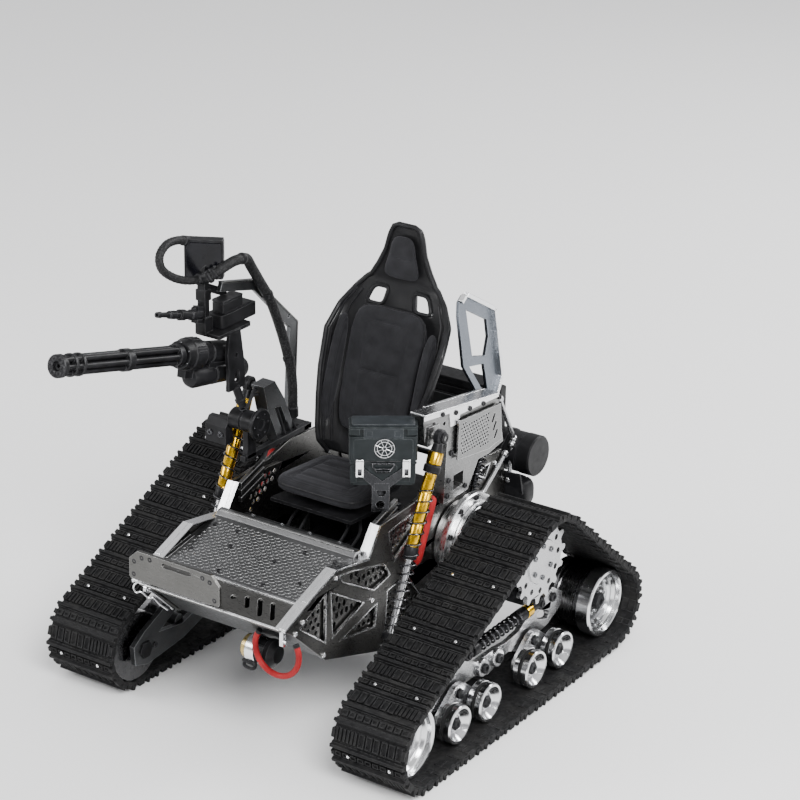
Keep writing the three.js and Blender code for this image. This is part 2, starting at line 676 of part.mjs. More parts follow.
function gunBarrels() {
  const reach = Math.hypot(GUN.tip[0] - GUN.pivot[0], GUN.tip[1] - GUN.pivot[1]);
  const core = rod(alongGun(37.4), alongGun(reach - 1), 3.6, 8);
  const rings = [[38, 42], [80, 84], [reach - 17, reach - 13.5], [reach - 4, reach]];
  return join(core, ...rings.map(([a, b]) => rod(alongGun(a), alongGun(b), GUN.r, 12)));
}

function turretHose() {
  return tube([
    [-51, DRUM.y + 1.1, 228.7], [-51.5, -1, 227], [-53, 5, 220.4], [-53.2, 11, 212.2], [-53.2, 21.6, 196.8],
    [-53, 30.2, 178.3], [-51.2, 35, 160], [-50, 36.6, 146.7], [-49.8, 37, 126],
  ], HOSE_R, 26);
}

// ---------- assembly ----------
function buildBody(root) {
  for (const [side, mirrored] of [["left", false], ["right", true]]) {
    const half = new THREE.Group();
    if (mirrored) half.scale.x = -1;
    piece(`side_truss_${side}`, sideTruss(), DARK_METAL, half);
    piece(`hub_flange_${side}`, hubFlange(), ALUMINIUM, half);
    if (mirrored) piece("shock_bracket_right", shockBracket(), ALUMINIUM, half);
    else piece("upper_side_plate_left", upperSidePlate(), ALUMINIUM, half);
    root.add(half);
  }
  piece("floor_pan", floorPan(), DARK_METAL, root);
  piece("footplate", footplate(), ALUMINIUM, root);
  piece("front_panel", frontPanel(), DARK_METAL, root);
  piece("bumper_plate", bumperPlate(), ALUMINIUM, root);
  piece("gear_case", gearCase(), BLACK_METAL, root);
  piece("battery_pack", batteryPack(), BLACK_PLASTIC, root);
  piece("seat_base", seatBase(), BLACK_METAL, root);
  piece("rear_frame", rearFrame(), ALUMINIUM, root);
  piece("rear_canister", rearCanister(), BLACK_METAL, root);
  piece("electronics_box", electronicsBox(), BLACK_PLASTIC, root);
  piece("winch_motor", winchMotor(), BRASS, root);
  piece("tow_strap", towStrap(), RED, root);
}

function buildTurret(root) {
  piece("turret_arm", turretArm(), DARK_METAL, root);
  piece("turret_post", turretPost(), BLACK_METAL, root);
  piece("gun_cradle", gunCradle(), BLACK_METAL, root);
  piece("gun_barrels", gunBarrels(), BLACK_METAL, root);
  piece("turret_hose", turretHose(), BLACK_PLASTIC, root);
}

const root = new THREE.Group();
root.add(buildPod("left", false), buildPod("right", true));
buildBody(root);
buildSeat(root);
buildAmmoBox(root);
buildTurret(root);

export default root;
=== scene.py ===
"""A tracked one-person tank chassis: the visible shapes, finishes, light and camera around the CAD frame.
Shapes are drawn in millimetres: +Z is up, the footplate points to -Y and +X is the occupant's left."""
import math

import bmesh
import bpy
from mathutils import Matrix, Vector
from mathutils.geometry import tessellate_polygon


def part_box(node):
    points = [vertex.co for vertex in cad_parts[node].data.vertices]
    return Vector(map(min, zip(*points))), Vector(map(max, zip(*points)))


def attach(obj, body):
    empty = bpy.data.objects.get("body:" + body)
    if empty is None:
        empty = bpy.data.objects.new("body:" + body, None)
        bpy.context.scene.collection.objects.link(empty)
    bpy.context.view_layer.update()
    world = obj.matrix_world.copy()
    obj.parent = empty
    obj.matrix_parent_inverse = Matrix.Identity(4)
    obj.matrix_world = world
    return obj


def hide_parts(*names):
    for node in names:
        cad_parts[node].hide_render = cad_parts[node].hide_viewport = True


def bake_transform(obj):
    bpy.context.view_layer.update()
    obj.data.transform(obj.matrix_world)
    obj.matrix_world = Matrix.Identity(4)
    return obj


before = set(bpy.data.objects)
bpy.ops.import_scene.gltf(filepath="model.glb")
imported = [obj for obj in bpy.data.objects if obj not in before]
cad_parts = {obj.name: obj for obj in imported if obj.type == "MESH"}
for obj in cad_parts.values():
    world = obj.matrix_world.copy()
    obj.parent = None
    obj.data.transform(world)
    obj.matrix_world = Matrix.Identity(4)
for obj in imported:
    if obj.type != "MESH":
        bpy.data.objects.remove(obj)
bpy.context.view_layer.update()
MM = 0.001
LEFTWARD, RIGHTWARD = "x", (-1, 0, 0)


# ---------- drawing closed meshes ----------
AXES = {
    "x": lambda a, b, c: Vector((c, a, b)),
    "y": lambda a, b, c: Vector((a, c, b)),
    "z": lambda a, b, c: Vector((a, b, c)),
}
DIRECTIONS = {"x": Vector((1, 0, 0)), "y": Vector((0, 1, 0)), "z": Vector((0, 0, 1))}
POLE = 1e-6  # a smaller radius closes a turned part in one point


class Form:
    """A mesh drawn in millimetres, made of parts that each close on themselves."""

    def __init__(self, place=None):
        self.points = []
        self.faces = []
        self.place = place or Matrix.Identity(4)

    def add(self, points, faces):
        base = len(self.points)
        self.points.extend(self.place @ Vector(p) for p in points)
        self.faces.extend([base + i for i in face] for face in faces)
        return self

    def plate(self, axis, outline, low, high, holes=()):
        """An outline of [a, b] points with holes, as thick as from low to high along one axis."""
        loops = [outline, *holes]
        flat = [Vector((a, b, 0)) for loop in loops for a, b in loop]
        count = len(flat)
        points = [AXES[axis](p.x, p.y, level) for level in (low, high) for p in flat]
        if holes:
            caps = tessellate_polygon([[Vector((a, b, 0)) for a, b in loop] for loop in loops])
        else:
            caps = [range(count)]
        faces = [[i + shift for i in cap] for shift in (0, count) for cap in caps]
        start = 0
        for loop in loops:
            for i in range(len(loop)):
                a, b = start + i, start + (i + 1) % len(loop)
                faces.append([a, b, b + count, a + count])
            start += len(loop)
        return self.add(points, faces)

    def box(self, x, y, z):
        """A box between two places along each axis."""
        return self.plate("z", [(x[0], y[0]), (x[1], y[0]), (x[1], y[1]), (x[0], y[1])], *z)

    def edging(self, path, thick, low, high):
        """Flat strips that stand on the segments of an open line of (y, z) points."""
        for start, end in zip(path, path[1:]):
            a, b = Vector(start), Vector(end)
            off = Vector((a.y - b.y, b.x - a.x)).normalized() * thick
            self.plate("x", [a, b, b + off, a + off], low, high)
        return self

    def skin(self, rows, closed=False):
        """Faces over rows of points, each a loop or one pole. Closed joins the last row to the first."""
        points, order = [], []
        for row in rows:
            order.append(list(range(len(points), len(points) + len(row))))
            points += row
        faces = []
        for a, b in zip(order, order[1:] + (order[:1] if closed else [])):
            faces += stitch(a, b)
        if not closed:
            faces += [row for row in (order[0], order[-1]) if len(row) > 1]
        return self.add(points, faces)

    def lathe(self, profile, at, along="x", sides=28, ring=False):
        """Turns (distance, radius) points about an axis through at. Radii may be a function of the angle."""
        direction = DIRECTIONS.get(along) if isinstance(along, str) else Vector(along).normalized()
        side, up = square_to(direction)
        rows = []
        for distance, radius in profile:
            middle = Vector(at) + direction * distance
            if callable(radius) or radius > POLE:
                rows.append(circle(middle, side, up, radius, sides))
            else:
                rows.append([middle])
        return self.skin(rows, ring)

    def band(self, at, along, half, inner, outer, sides=20):
        """A ring of rectangular section about an axis, reaching half to each side of at."""
        profile = [(-half, inner), (-half, outer), (half, outer), (half, inner)]
        return self.lathe(profile, at, along, sides, ring=True)

    def rod(self, start, end, radius, sides=16, chamfer=0.15):
        """A round bar with small chamfers at both ends."""
        length = (Vector(end) - Vector(start)).length
        soft = min(chamfer, radius * 0.4, length * 0.3)
        profile = [(0, radius - soft), (soft, radius), (length - soft, radius), (length, radius - soft)]
        return self.lathe(profile, start, Vector(end) - Vector(start), sides)

    def tube(self, path, radius, sides=10, wrap=False):
        """A round section swept along a list of points. The radius may be a function of the share."""
        path = [Vector(p) for p in path]
        rows, side = [], None
        for i, p in enumerate(path):
            after = path[(i + 1) % len(path)] if wrap or i + 1 < len(path) else p
            before = path[i - 1] if wrap or i else p
            tangent = (after - before).normalized()
            if side is None:
                side = square_to(tangent)[0]
            side = (side - tangent * side.dot(tangent)).normalized()
            up = tangent.cross(side)
            reach = radius(i / (len(path) - 1)) if callable(radius) else radius
            rows.append(circle(p, side, up, reach, sides))
        return self.skin(rows, wrap)

    def bolt(self, at, along, radius=1.5, height=1.2):
        """A socket-head screw standing on a face."""
        def socket(angle):
            """The hexagonal socket's reach, narrower at the middle of each of its six flats."""
            share = (math.degrees(angle) % 60) / 60
            return radius * 0.55 * (1 - 0.13 * (1 - abs(2 * share - 1)))
        profile = [
            (0, radius), (height * 0.8, radius), (height, radius * 0.84), (height, socket),
            (height * 0.45, socket), (height * 0.45, 0),
        ]
        return self.lathe(profile, at, along, 12)

    def bolts(self, x, places, radius, height, along=LEFTWARD):
        """Screws at (y, z) places on a face that looks along the X axis."""
        for y, z in places:
            self.bolt((x, y, z), along, radius, height)
        return self

    def mirrored(self):
        """The same form on the other side of the machine."""
        other = Form()
        other.points = [Vector((-p.x, p.y, p.z)) for p in self.points]
        other.faces = [list(face) for face in self.faces]
        return other


def stitch(a, b):
    """Faces between two rows of points, either of which may be a single pole."""
    if len(a) == 1 and len(b) == 1:
        return []
    count = max(len(a), len(b))
    faces = []
    for i in range(count):
        j = (i + 1) % count
        if len(a) == 1:
            faces.append([a[0], b[i], b[j]])
        elif len(b) == 1:
            faces.append([a[i], b[0], a[j]])
        else:
            faces.append([a[i], b[i], b[j], a[j]])
    return faces


def circle(middle, side, up, radius, sides):
    """Points round a middle. The radius may be a function of the angle."""
    points = []
    for i in range(sides):
        angle = 2 * math.pi * i / sides
        reach = radius(angle) if callable(radius) else radius
        points.append(middle + (side * math.cos(angle) + up * math.sin(angle)) * reach)
    return points


def ring_spots(count, reach, middle=(0, 0), start=0.0):
    """Evenly spaced (a, b) places on a circle, the first one at the start angle."""
    angles = [2 * math.pi * i / count + start for i in range(count)]
    return [(middle[0] + reach * math.cos(a), middle[1] + reach * math.sin(a)) for a in angles]


def around(plan, count):
    """Points on a soft-cornered square of half-width 1, squarer the larger the plan."""
    points = []
    for u, v in ring_spots(count, 1):
        reach = (abs(u) ** plan + abs(v) ** plan) ** (-1 / plan)
        points.append((u * reach, v * reach))
    return points


def slope(foot, crest):
    """A sloping face from foot to crest: its length, its directions up and out, and its place."""
    up = (crest - foot).normalized()
    out = Vector((0, up.z, -up.y))
    place = Matrix(((1, 0, 0, 0), (0, up.y, out.y, foot.y), (0, up.z, out.z, foot.z), (0, 0, 0, 1)))
    return (crest - foot).length, up, out, place


def square_to(direction):
    """Two directions square to the given one and to each other."""
    helper = Vector((0, 0, 1)) if abs(direction.z) < 0.9 else Vector((0, 1, 0))
    side = direction.cross(helper).normalized()
    return side, direction.cross(side).normalized()


def smooth_path(points, steps):
    """Points on a Catmull-Rom curve through the given ones."""
    p = [Vector(q) for q in points]
    p = [2 * p[0] - p[1], *p, 2 * p[-1] - p[-2]]
    path = []
    for i in range(steps + 1):
        t = min(i / steps * (len(p) - 3), len(p) - 3 - 1e-9)
        k, u = int(t), t - int(t)
        a, b, c, d = p[k:k + 4]
        path.append(0.5 * (2 * b + (c - a) * u + (2 * a - 5 * b + 4 * c - d) * u * u
                           + (3 * b - a - 3 * c + d) * u ** 3))
    return path


def disc(centre, radius, sides=14, stretch=0, turn=0.0):
    """A round outline, or a slot when stretch lengthens it along its turned second axis."""
    points = []
    for i in range(sides):
        angle = 2 * math.pi * (i + 0.5) / sides
        a, b = radius * math.cos(angle), radius * math.sin(angle)
        b += math.copysign(stretch, b)
        points.append((centre[0] + a * math.cos(turn) - b * math.sin(turn),
                       centre[1] + a * math.sin(turn) + b * math.cos(turn)))
    return points


def rounded(low, high, radius):
    """A rectangle's outline with round corners."""
    steps = 4
    corners = [(high[0], high[1], 0), (low[0], high[1], 90), (low[0], low[1], 180), (high[0], low[1], 270)]
    points = []
    for a, b, start in corners:
        ca = a - math.copysign(radius, a - (low[0] + high[0]) / 2)
        cb = b - math.copysign(radius, b - (low[1] + high[1]) / 2)
        for i in range(steps + 1):
            angle = math.radians(start + 90 * i / steps)
            points.append((ca + radius * math.cos(angle), cb + radius * math.sin(angle)))
    return points


def inside(outline, a, b, margin):
    """Whether a point lies in an outline and at least margin from its edges."""
    within = False
    for (a0, b0), (a1, b1) in zip(outline, outline[1:] + outline[:1]):
        if (b0 > b) != (b1 > b) and a < a0 + (a1 - a0) * (b - b0) / (b1 - b0):
            within = not within
        edge = Vector((a1 - a0, b1 - b0))
        share = max(0, min(1, Vector((a - a0, b - b0)).dot(edge) / edge.length_squared))
        if (Vector((a0, b0)) + edge * share - Vector((a, b))).length < margin:
            return False
    return within


def perforation(outline, pitch, radius, margin, stretch=0, sides=10):
    """Round or oblong holes in staggered rows, wherever they fit inside an outline."""
    low = [min(p[k] for p in outline) for k in (0, 1)]
    high = [max(p[k] for p in outline) for k in (0, 1)]
    holes, row, b = [], 0, low[1] + margin
    while b < high[1]:
        a = low[0] + margin + (pitch / 2 if row % 2 else 0)
        while a < high[0]:
            if inside(outline, a, b, margin + radius + stretch):
                holes.append(disc((a, b), radius, sides, stretch))
            a += pitch
        b += (pitch + 2 * stretch) * 0.87
        row += 1
    return holes


def shrunk(outline, by):
    """An outline moved inwards by the same distance all round."""
    area = sum(a0 * b1 - a1 * b0 for (a0, b0), (a1, b1) in zip(outline, outline[1:] + outline[:1]))
    side = 1 if area > 0 else -1
    result = []
    for i, point in enumerate(outline):
        before, after = Vector(outline[i - 1]), Vector(outline[(i + 1) % len(outline)])
        here = Vector(point)
        u, v = (here - before).normalized(), (after - here).normalized()
        nu, nv = Vector((-u.y, u.x)) * side, Vector((-v.y, v.x)) * side
        middle = (nu + nv).normalized()
        here += middle * (by / max(0.35, middle.dot(nu)))
        result.append((here.x, here.y))
    return result


def soften(piece, width, sharp):
    """Bevels a piece's edges where its faces meet at more than the sharp angle."""
    bevel = piece.modifiers.new("edges", "BEVEL")
    bevel.width = width * MM
    bevel.segments = 2
    bevel.limit_method = "ANGLE"
    bevel.angle_limit = math.radians(sharp)
    return bevel


def make(name, form, material, body, slot, replaces=(), bevel=0.0, sharp=35, ride=True):
    """Turns a form into a Blender mesh that rides on a body and stands for the CAD nodes it replaces."""
    mesh = bpy.data.meshes.new(name)
    mesh.from_pydata([p * MM for p in form.points], [], form.faces)
    work = bmesh.new()
    work.from_mesh(mesh)
    bmesh.ops.recalc_face_normals(work, faces=work.faces)
    work.to_mesh(mesh)
    work.free()
    mesh.shade_smooth()
    mesh.set_sharp_from_angle(angle=math.radians(sharp))
    mesh.materials.append(material)
    piece = bpy.data.objects.new(name, mesh)
    bpy.context.scene.collection.objects.link(piece)
    if bevel:
        soften(piece, bevel, sharp).harden_normals = True
    if ride:
        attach(piece, body)
    if replaces:
        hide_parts(*([replaces] if isinstance(replaces, str) else replaces))
    return piece


def make_pair(name, form, material, body, slot, replaces=(), **options):
    """The same piece on the left and, mirrored, on the right of the machine."""
    for side, drawn in (("left", form), ("right", form.mirrored())):
        own_body = body if body == "root" else f"{body}_{side}"
        nodes = [f"{node}_{side}" for node in ([replaces] if isinstance(replaces, str) else replaces)]
        make(f"{name}_{side}", drawn, material, own_body, slot, nodes, **options)


# ---------- finishes ----------
class Finish:
    """A node material with small helpers for its procedural detail. Pattern sizes are in millimetres."""

    def __init__(self, name, roughness, metallic, specular=0.5, coat=0.0, sheen=0.0):
        self.material = bpy.data.materials.new(name)
        self.material.use_nodes = True
        self.nodes = self.material.node_tree.nodes
        self.shader = self.nodes["Principled BSDF"]
        self.shader.inputs["Roughness"].default_value = roughness
        self.shader.inputs["Metallic"].default_value = metallic
        self.shader.inputs["Specular IOR Level"].default_value = specular
        self.shader.inputs["Coat Weight"].default_value = coat
        self.shader.inputs["Coat Roughness"].default_value = 0.12
        self.shader.inputs["Sheen Weight"].default_value = sheen
        self.place = self.new("ShaderNodeTexCoord").outputs["Object"]

    def new(self, kind, inputs=None, **settings):
        node = self.nodes.new(kind)
        for key, value in settings.items():
            setattr(node, key, value)
        for key, value in (inputs or {}).items():
            if hasattr(value, "is_output"):
                self.material.node_tree.links.new(value, node.inputs[key])
            else:
                node.inputs[key].default_value = value
        return node

    def link(self, output, name):
        self.material.node_tree.links.new(output, self.shader.inputs[name])

    def stretched(self, x, y, z):
        return self.new("ShaderNodeMapping", {"Vector": self.place, "Scale": (x, y, z)}).outputs["Vector"]

    def noise(self, size, detail=4.0, place=None):
        inputs = {"Vector": place or self.place, "Scale": 1 / (size * MM), "Detail": detail}
        return self.new("ShaderNodeTexNoise", inputs).outputs["Fac"]

    def cells(self, size):
        inputs = {"Vector": self.place, "Scale": 1 / (size * MM)}
        return self.new("ShaderNodeTexVoronoi", inputs).outputs["Distance"]

    def ramp(self, value, start, end, low=0.0, high=1.0):
        inputs = {"Value": value, "From Min": start, "From Max": end, "To Min": low, "To Max": high}
        return self.new("ShaderNodeMapRange", inputs).outputs["Result"]

    def math(self, operation, a, b):
        return self.new("ShaderNodeMath", {0: a, 1: b}, operation=operation).outputs["Value"]

    def mix(self, share, a, b):
        def colour(c):
            return (*c, 1.0) if isinstance(c, tuple) else c
        inputs = {0: share, 6: colour(a), 7: colour(b)}
        return self.new("ShaderNodeMix", inputs, data_type="RGBA").outputs[2]

    def edges(self, radius):
        """1 on outer edges and 0 on flat faces: where the worn edges go, and on the metals also the painted
        edge highlight.
        """
        bent = self.new("ShaderNodeBevel", {"Radius": radius * MM}, samples=4).outputs["Normal"]
        flat = self.new("ShaderNodeNewGeometry").outputs["Normal"]
        dot = self.new("ShaderNodeVectorMath", {0: bent, 1: flat}, operation="DOT_PRODUCT").outputs["Value"]
        return self.ramp(dot, 0.995, 0.9)

    def bump(self, height, distance, strength=0.5):
        inputs = {"Height": height, "Distance": distance * MM, "Strength": strength}
        self.link(self.new("ShaderNodeBump", inputs).outputs["Normal"], "Normal")


def metal(name, dark, light, roughness, grain=(1, 1, 1), edge_colour=None, spread=0.12, depth=0.05):
    """Machined or anodised metal: clouded colour, drawn grain, and edges lightened partly by wear and partly
    by a painted edge highlight.
    """
    f = Finish(name, roughness, 1.0)
    streaks = f.noise(1.6, 6.0, f.stretched(*grain))
    clouds = f.noise(14, 3.0)
    shade = f.math("ADD", f.math("MULTIPLY", streaks, 0.45), f.math("MULTIPLY", clouds, 0.55))
    colour = f.mix(f.ramp(shade, 0.2, 0.8), dark, light)
    if edge_colour:
        # painted edge highlight: the lighter colour on the outer edges stands partly for wear and partly for
        # light caught along them
        edge_wear_and_highlight = f.math("MULTIPLY", f.edges(0.4), f.ramp(f.noise(2.2), 0.22, 0.42))
        colour = f.mix(edge_wear_and_highlight, colour, edge_colour)
    f.link(colour, "Base Color")
    f.link(f.ramp(f.noise(3.0, 5.0, f.stretched(*grain)), 0.3, 0.7, roughness - spread, roughness + spread),
           "Roughness")
    f.bump(f.noise(0.5, 3.0, f.stretched(*grain)), depth)
    return f.material


def black_paint(name, dark, light, roughness, edge_colour, grain_size=0.35, metallic=0.0, coat=0.0, spread=0.1):
    """Matt paint or moulded plastic: fine grain, soft clouding and rubbed edges."""
    f = Finish(name, roughness, metallic, 0.15, coat)
    colour = f.mix(f.ramp(f.noise(9, 4.0), 0.35, 0.65), dark, light)
    rubbed = f.math("MULTIPLY", f.edges(0.6), f.ramp(f.noise(3.0), 0.3, 0.65))
    f.link(f.mix(rubbed, colour, edge_colour), "Base Color")
    f.link(f.ramp(f.noise(4.0, 6.0), 0.3, 0.7, roughness - spread, roughness + spread), "Roughness")
    f.bump(f.noise(grain_size, 2.0), 0.05)
    return f.material


def rubber():
    f = Finish("rubber", 0.7, 0.0, specular=0.12)
    dust = f.ramp(f.noise(12, 6.0), 0.45, 0.75)
    colour = f.mix(f.ramp(f.noise(3.0, 4.0), 0.3, 0.7), (0.005, 0.005, 0.0055), (0.013, 0.013, 0.0135))
    rubbed = f.math("MULTIPLY", f.edges(0.5), f.ramp(f.noise(2.0), 0.35, 0.6))
    colour = f.mix(rubbed, colour, (0.042, 0.042, 0.043))
    f.link(f.mix(f.math("MULTIPLY", dust, 0.35), colour, (0.032, 0.031, 0.029)), "Base Color")
    f.link(f.ramp(f.noise(2.0, 5.0), 0.3, 0.7, 0.5, 0.82), "Roughness")
    pits = f.math("ADD", f.noise(0.4, 3.0), f.math("MULTIPLY", f.noise(2.5, 4.0), 0.6))
    f.bump(pits, 0.12)
    return f.material


def gold():
    f = Finish("gold", 0.2, 1.0)
    rings = f.noise(1.2, 4.0)
    f.link(f.mix(f.ramp(rings, 0.35, 0.7), (0.56, 0.31, 0.008), (0.80, 0.50, 0.03)), "Base Color")
    f.link(f.ramp(f.noise(2.5, 5.0), 0.3, 0.7, 0.12, 0.3), "Roughness")
    f.bump(f.noise(0.4, 2.0), 0.02)
    return f.material


WAVE_PERIOD = 0.314  # length of one band of the wave texture at a scale of 1


def cloth(name, dark, light):
    """Woven fabric: two crossed sets of threads, with pilling and a soft sheen."""
    pitch = 0.55
    f = Finish(name, 0.85, 0.0, specular=0.2, sheen=0.14)
    f.shader.inputs["Sheen Roughness"].default_value = 0.5
    f.shader.inputs["Sheen Tint"].default_value = (0.5, 0.5, 0.55, 1)
    threads = []
    for direction in ("X", "Z"):
        inputs = {"Vector": f.place, "Scale": WAVE_PERIOD / (pitch * MM), "Distortion": 0.6, "Detail": 1.0}
        threads.append(f.new("ShaderNodeTexWave", inputs, bands_direction=direction).outputs["Fac"])
    weave = f.math("MULTIPLY", *threads)
    colour = f.mix(f.ramp(f.noise(7, 5.0), 0.3, 0.7), dark, light)
    lifted = tuple(1.9 * c + 0.008 for c in light)
    f.link(f.mix(f.math("MULTIPLY", weave, 0.35), colour, lifted), "Base Color")
    f.link(f.ramp(weave, 0.0, 1.0, 0.92, 0.72), "Roughness")
    f.bump(f.math("ADD", weave, f.math("MULTIPLY", f.noise(1.2, 4.0), 0.8)), 0.12, 0.6)
    return f.material


def braid():
    """A braided sleeve: diamonds of thin yarn over black hose."""
    f = Finish("braid", 0.62, 0.0, specular=0.2)
    yarn = f.ramp(f.cells(0.9), 0.1, 0.55)
    f.link(f.mix(yarn, (0.032, 0.032, 0.033), (0.006, 0.006, 0.0065)), "Base Color")
    f.link(f.ramp(f.noise(2.0), 0.3, 0.7, 0.45, 0.7), "Roughness")
    f.bump(f.math("ADD", yarn, f.noise(0.5, 2.0)), 0.14, 0.8)
    return f.material


# Each metal's sixth value, where given, is its edge colour: partly wear, partly a painted edge highlight.
ALUMINIUM = metal("aluminium", (0.42, 0.425, 0.43), (0.56, 0.56, 0.57), 0.3, (1, 5, 5), (0.8, 0.8, 0.81),
                  depth=0.03)
STEEL = metal("brushed_steel", (0.18, 0.181, 0.18), (0.255, 0.256, 0.254), 0.33, (1, 5, 5),
              (0.78, 0.78, 0.79), depth=0.02)
TURNED = metal("turned", (0.74, 0.745, 0.75), (0.86, 0.86, 0.87), 0.3, (5, 1, 1), (0.95, 0.95, 0.95),
               depth=0.02)
TREAD = metal("tread_steel", (0.12, 0.121, 0.123), (0.19, 0.191, 0.193), 0.4, (4, 1, 1), (0.42, 0.42, 0.42))
SATIN = metal("satin_steel", (0.088, 0.087, 0.083), (0.14, 0.138, 0.133), 0.34, (1, 5, 5), (0.42, 0.42, 0.42),
              depth=0.02)
POLISHED = metal("polished", (0.66, 0.67, 0.68), (0.84, 0.84, 0.85), 0.17, (6, 1, 1), spread=0.07, depth=0.03)
DARK_STEEL = metal("dark_steel", (0.07, 0.07, 0.072), (0.14, 0.14, 0.143), 0.24, (6, 1, 1), (0.4, 0.4, 0.41))
GUNMETAL = metal("gunmetal", (0.06, 0.062, 0.064), (0.12, 0.123, 0.127), 0.38, (1, 4, 4), (0.5, 0.51, 0.53))
BRIGHT = metal("bright_edge", (0.72, 0.73, 0.74), (0.92, 0.92, 0.93), 0.22, (3, 1, 1), spread=0.08)
BLUE_GREY = metal("blue_grey", (0.12, 0.135, 0.158), (0.21, 0.23, 0.26), 0.34, (1, 4, 4), (0.7, 0.72, 0.75))
BLACK_METAL = black_paint("black_metal", (0.006, 0.006, 0.0065), (0.014, 0.014, 0.0155), 0.38,
                          (0.07, 0.07, 0.073), metallic=0.2)
BLACK_PLASTIC = black_paint("black_plastic", (0.006, 0.006, 0.0065), (0.011, 0.011, 0.012), 0.42,
                            (0.035, 0.035, 0.038))
SHELL = black_paint("seat_shell_moulding", (0.0075, 0.0075, 0.008), (0.011, 0.011, 0.012), 0.36,
                    (0.03, 0.03, 0.033), coat=0.25, spread=0.03)
GREEN_GREY = black_paint("green_grey", (0.008, 0.0105, 0.0112), (0.0145, 0.018, 0.0195), 0.4,
                         (0.055, 0.062, 0.064))
LID_GREY = black_paint("lid_grey", (0.015, 0.0178, 0.02), (0.024, 0.028, 0.0315), 0.38, (0.1, 0.107, 0.112))
RED = black_paint("red_strap", (0.20, 0.008, 0.010), (0.33, 0.018, 0.02), 0.48, (0.45, 0.06, 0.06), 0.5)
BRASS = metal("brass", (0.36, 0.27, 0.10), (0.58, 0.45, 0.2), 0.3, (1, 3, 3), (0.8, 0.7, 0.45))
SPRING = metal("spring_steel", (0.02, 0.0205, 0.022), (0.045, 0.046, 0.049), 0.26, (2, 2, 1),
               (0.2, 0.2, 0.21))
GLASS = black_paint("screen_glass", (0.002, 0.002, 0.003), (0.004, 0.004, 0.006), 0.22, (0.01, 0.01, 0.015),
                    coat=0.15)
RUBBER = rubber()
GOLD = gold()
FABRIC = cloth("seat_fabric", (0.006, 0.006, 0.007), (0.014, 0.014, 0.016))
BRAID = braid()


# ---------- places taken from the frame ----------
def extent(node):
    """Lowest and highest corner of a CAD node, in millimetres."""
    low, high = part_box(node)
    return low / MM, high / MM


def centre(node):
    low, high = extent(node)
    return (low + high) / 2


def radius(node):
    low, high = extent(node)
    return (high.z - low.z) / 2


HUB = centre("hub_flange_left")
IDLERS = {"front": centre("idler_front_left"), "rear": centre("idler_rear_left")}
WHEELS = [centre(f"road_wheel_{i}_left") for i in (1, 2, 3, 4)]
IDLER_R = radius("idler_front_left")
WHEEL_R = radius("road_wheel_1_left")
SPROCKET_R = radius("sprocket_left")
BELT_LOW, BELT_HIGH = extent("track_belt_left")
FACE = extent("road_wheel_1_left")[1].x
PIVOTS = [(WHEELS[0].y + WHEELS[1].y) / 2, (WHEELS[2].y + WHEELS[3].y) / 2]
PIVOT_Z = 24.5
RUNNING_GAP = 0.4  # between the belt and the idlers and sprocket
WHEEL_GAP = 0.65  # between the belt and the road wheels
BAND = 2.4  # thickness of the belt between its grousers
GROUSER = 4.6  # height of a grouser's top over the belt's inner face
LINKS = 28
DISC_X = (77, 101.4)  # inner faces of the sprocket's two toothed discs
INNER_PAD = 0.5  # height of the small pads along the edges of the belt's inner face
EDGE_PADS = ((72, 76.4), (106, 109.4), (110.2, 114))  # their x places, clear of the wheels and the sprocket


# ---------- the belt ----------
def belt_pieces():
    """The belt's inner line round its wheels: arcs and straight runs in the (y, z) plane."""
    circles = [(IDLERS["front"].yz, IDLER_R + RUNNING_GAP), (HUB.yz, SPROCKET_R + RUNNING_GAP),
               (IDLERS["rear"].yz, IDLER_R + RUNNING_GAP), (WHEELS[3].yz, WHEEL_R + WHEEL_GAP),
               (WHEELS[0].yz, WHEEL_R + WHEEL_GAP)]
    spans = []
    for (a, ra), (b, rb) in zip(circles, circles[1:] + circles[:1]):
        along = (b - a).normalized()
        lean = (ra - rb) / (b - a).length
        rise = math.sqrt(1 - lean * lean)
        normal = Vector((lean * along.x - rise * along.y, lean * along.y + rise * along.x))
        spans.append((a, ra, b, rb, normal))
    pieces = []
    for i, (a, ra, b, rb, normal) in enumerate(spans):
        before = spans[i - 1][4]
        start = math.atan2(before.y, before.x)
        sweep = (start - math.atan2(normal.y, normal.x)) % (2 * math.pi)
        pieces.append(("arc", ra * sweep, a, ra, start, sweep))
        first, last = a + normal * ra, b + normal * rb
        pieces.append(("run", (last - first).length, first, last, normal, None))
    return pieces


BELT = belt_pieces()
BELT_LENGTH = sum(piece[1] for piece in BELT)
PITCH = BELT_LENGTH / LINKS


def on_belt(distance, offset):
    """The (y, z) point at a distance along the belt and an offset out from its inner face."""
    left = distance % BELT_LENGTH
    for kind, length, a, b, c, d in BELT:
        if left <= length:
            if kind == "run":
                point = a.lerp(b, left / length) + c * offset
            else:
                angle = c - d * left / length
                point = a + Vector((math.cos(angle), math.sin(angle))) * (b + offset)
            return point.x, point.y
        left -= length
    return on_belt(0, offset)


def belt_slab(form, start, end, low, high, x, taper):
    """A block on the belt, between two distances along it, two offsets and two x places."""
    foot = [(start, low), (end, low)]
    crown = [(end - taper, high), (start + taper, high)]
    outline = [on_belt(*p) for p in foot + crown]
    return form.plate("x", outline, x[0], x[1])


def belt_tile(form, start, end, x, low, high):
    """A raised block with a recessed top, as is moulded between the grousers."""
    rim = 0.7

    def corners(inset, offset):
        spots = [(start + inset, x[0] + inset), (end - inset, x[0] + inset),
                 (end - inset, x[1] - inset), (start + inset, x[1] - inset)]
        return [Vector((across, *on_belt(along, offset))) for along, across in spots]
    profile = ((0, low), (0.15, high), (rim, high), (rim + 0.1, high - 0.8))
    return form.skin([corners(*spot) for spot in profile])


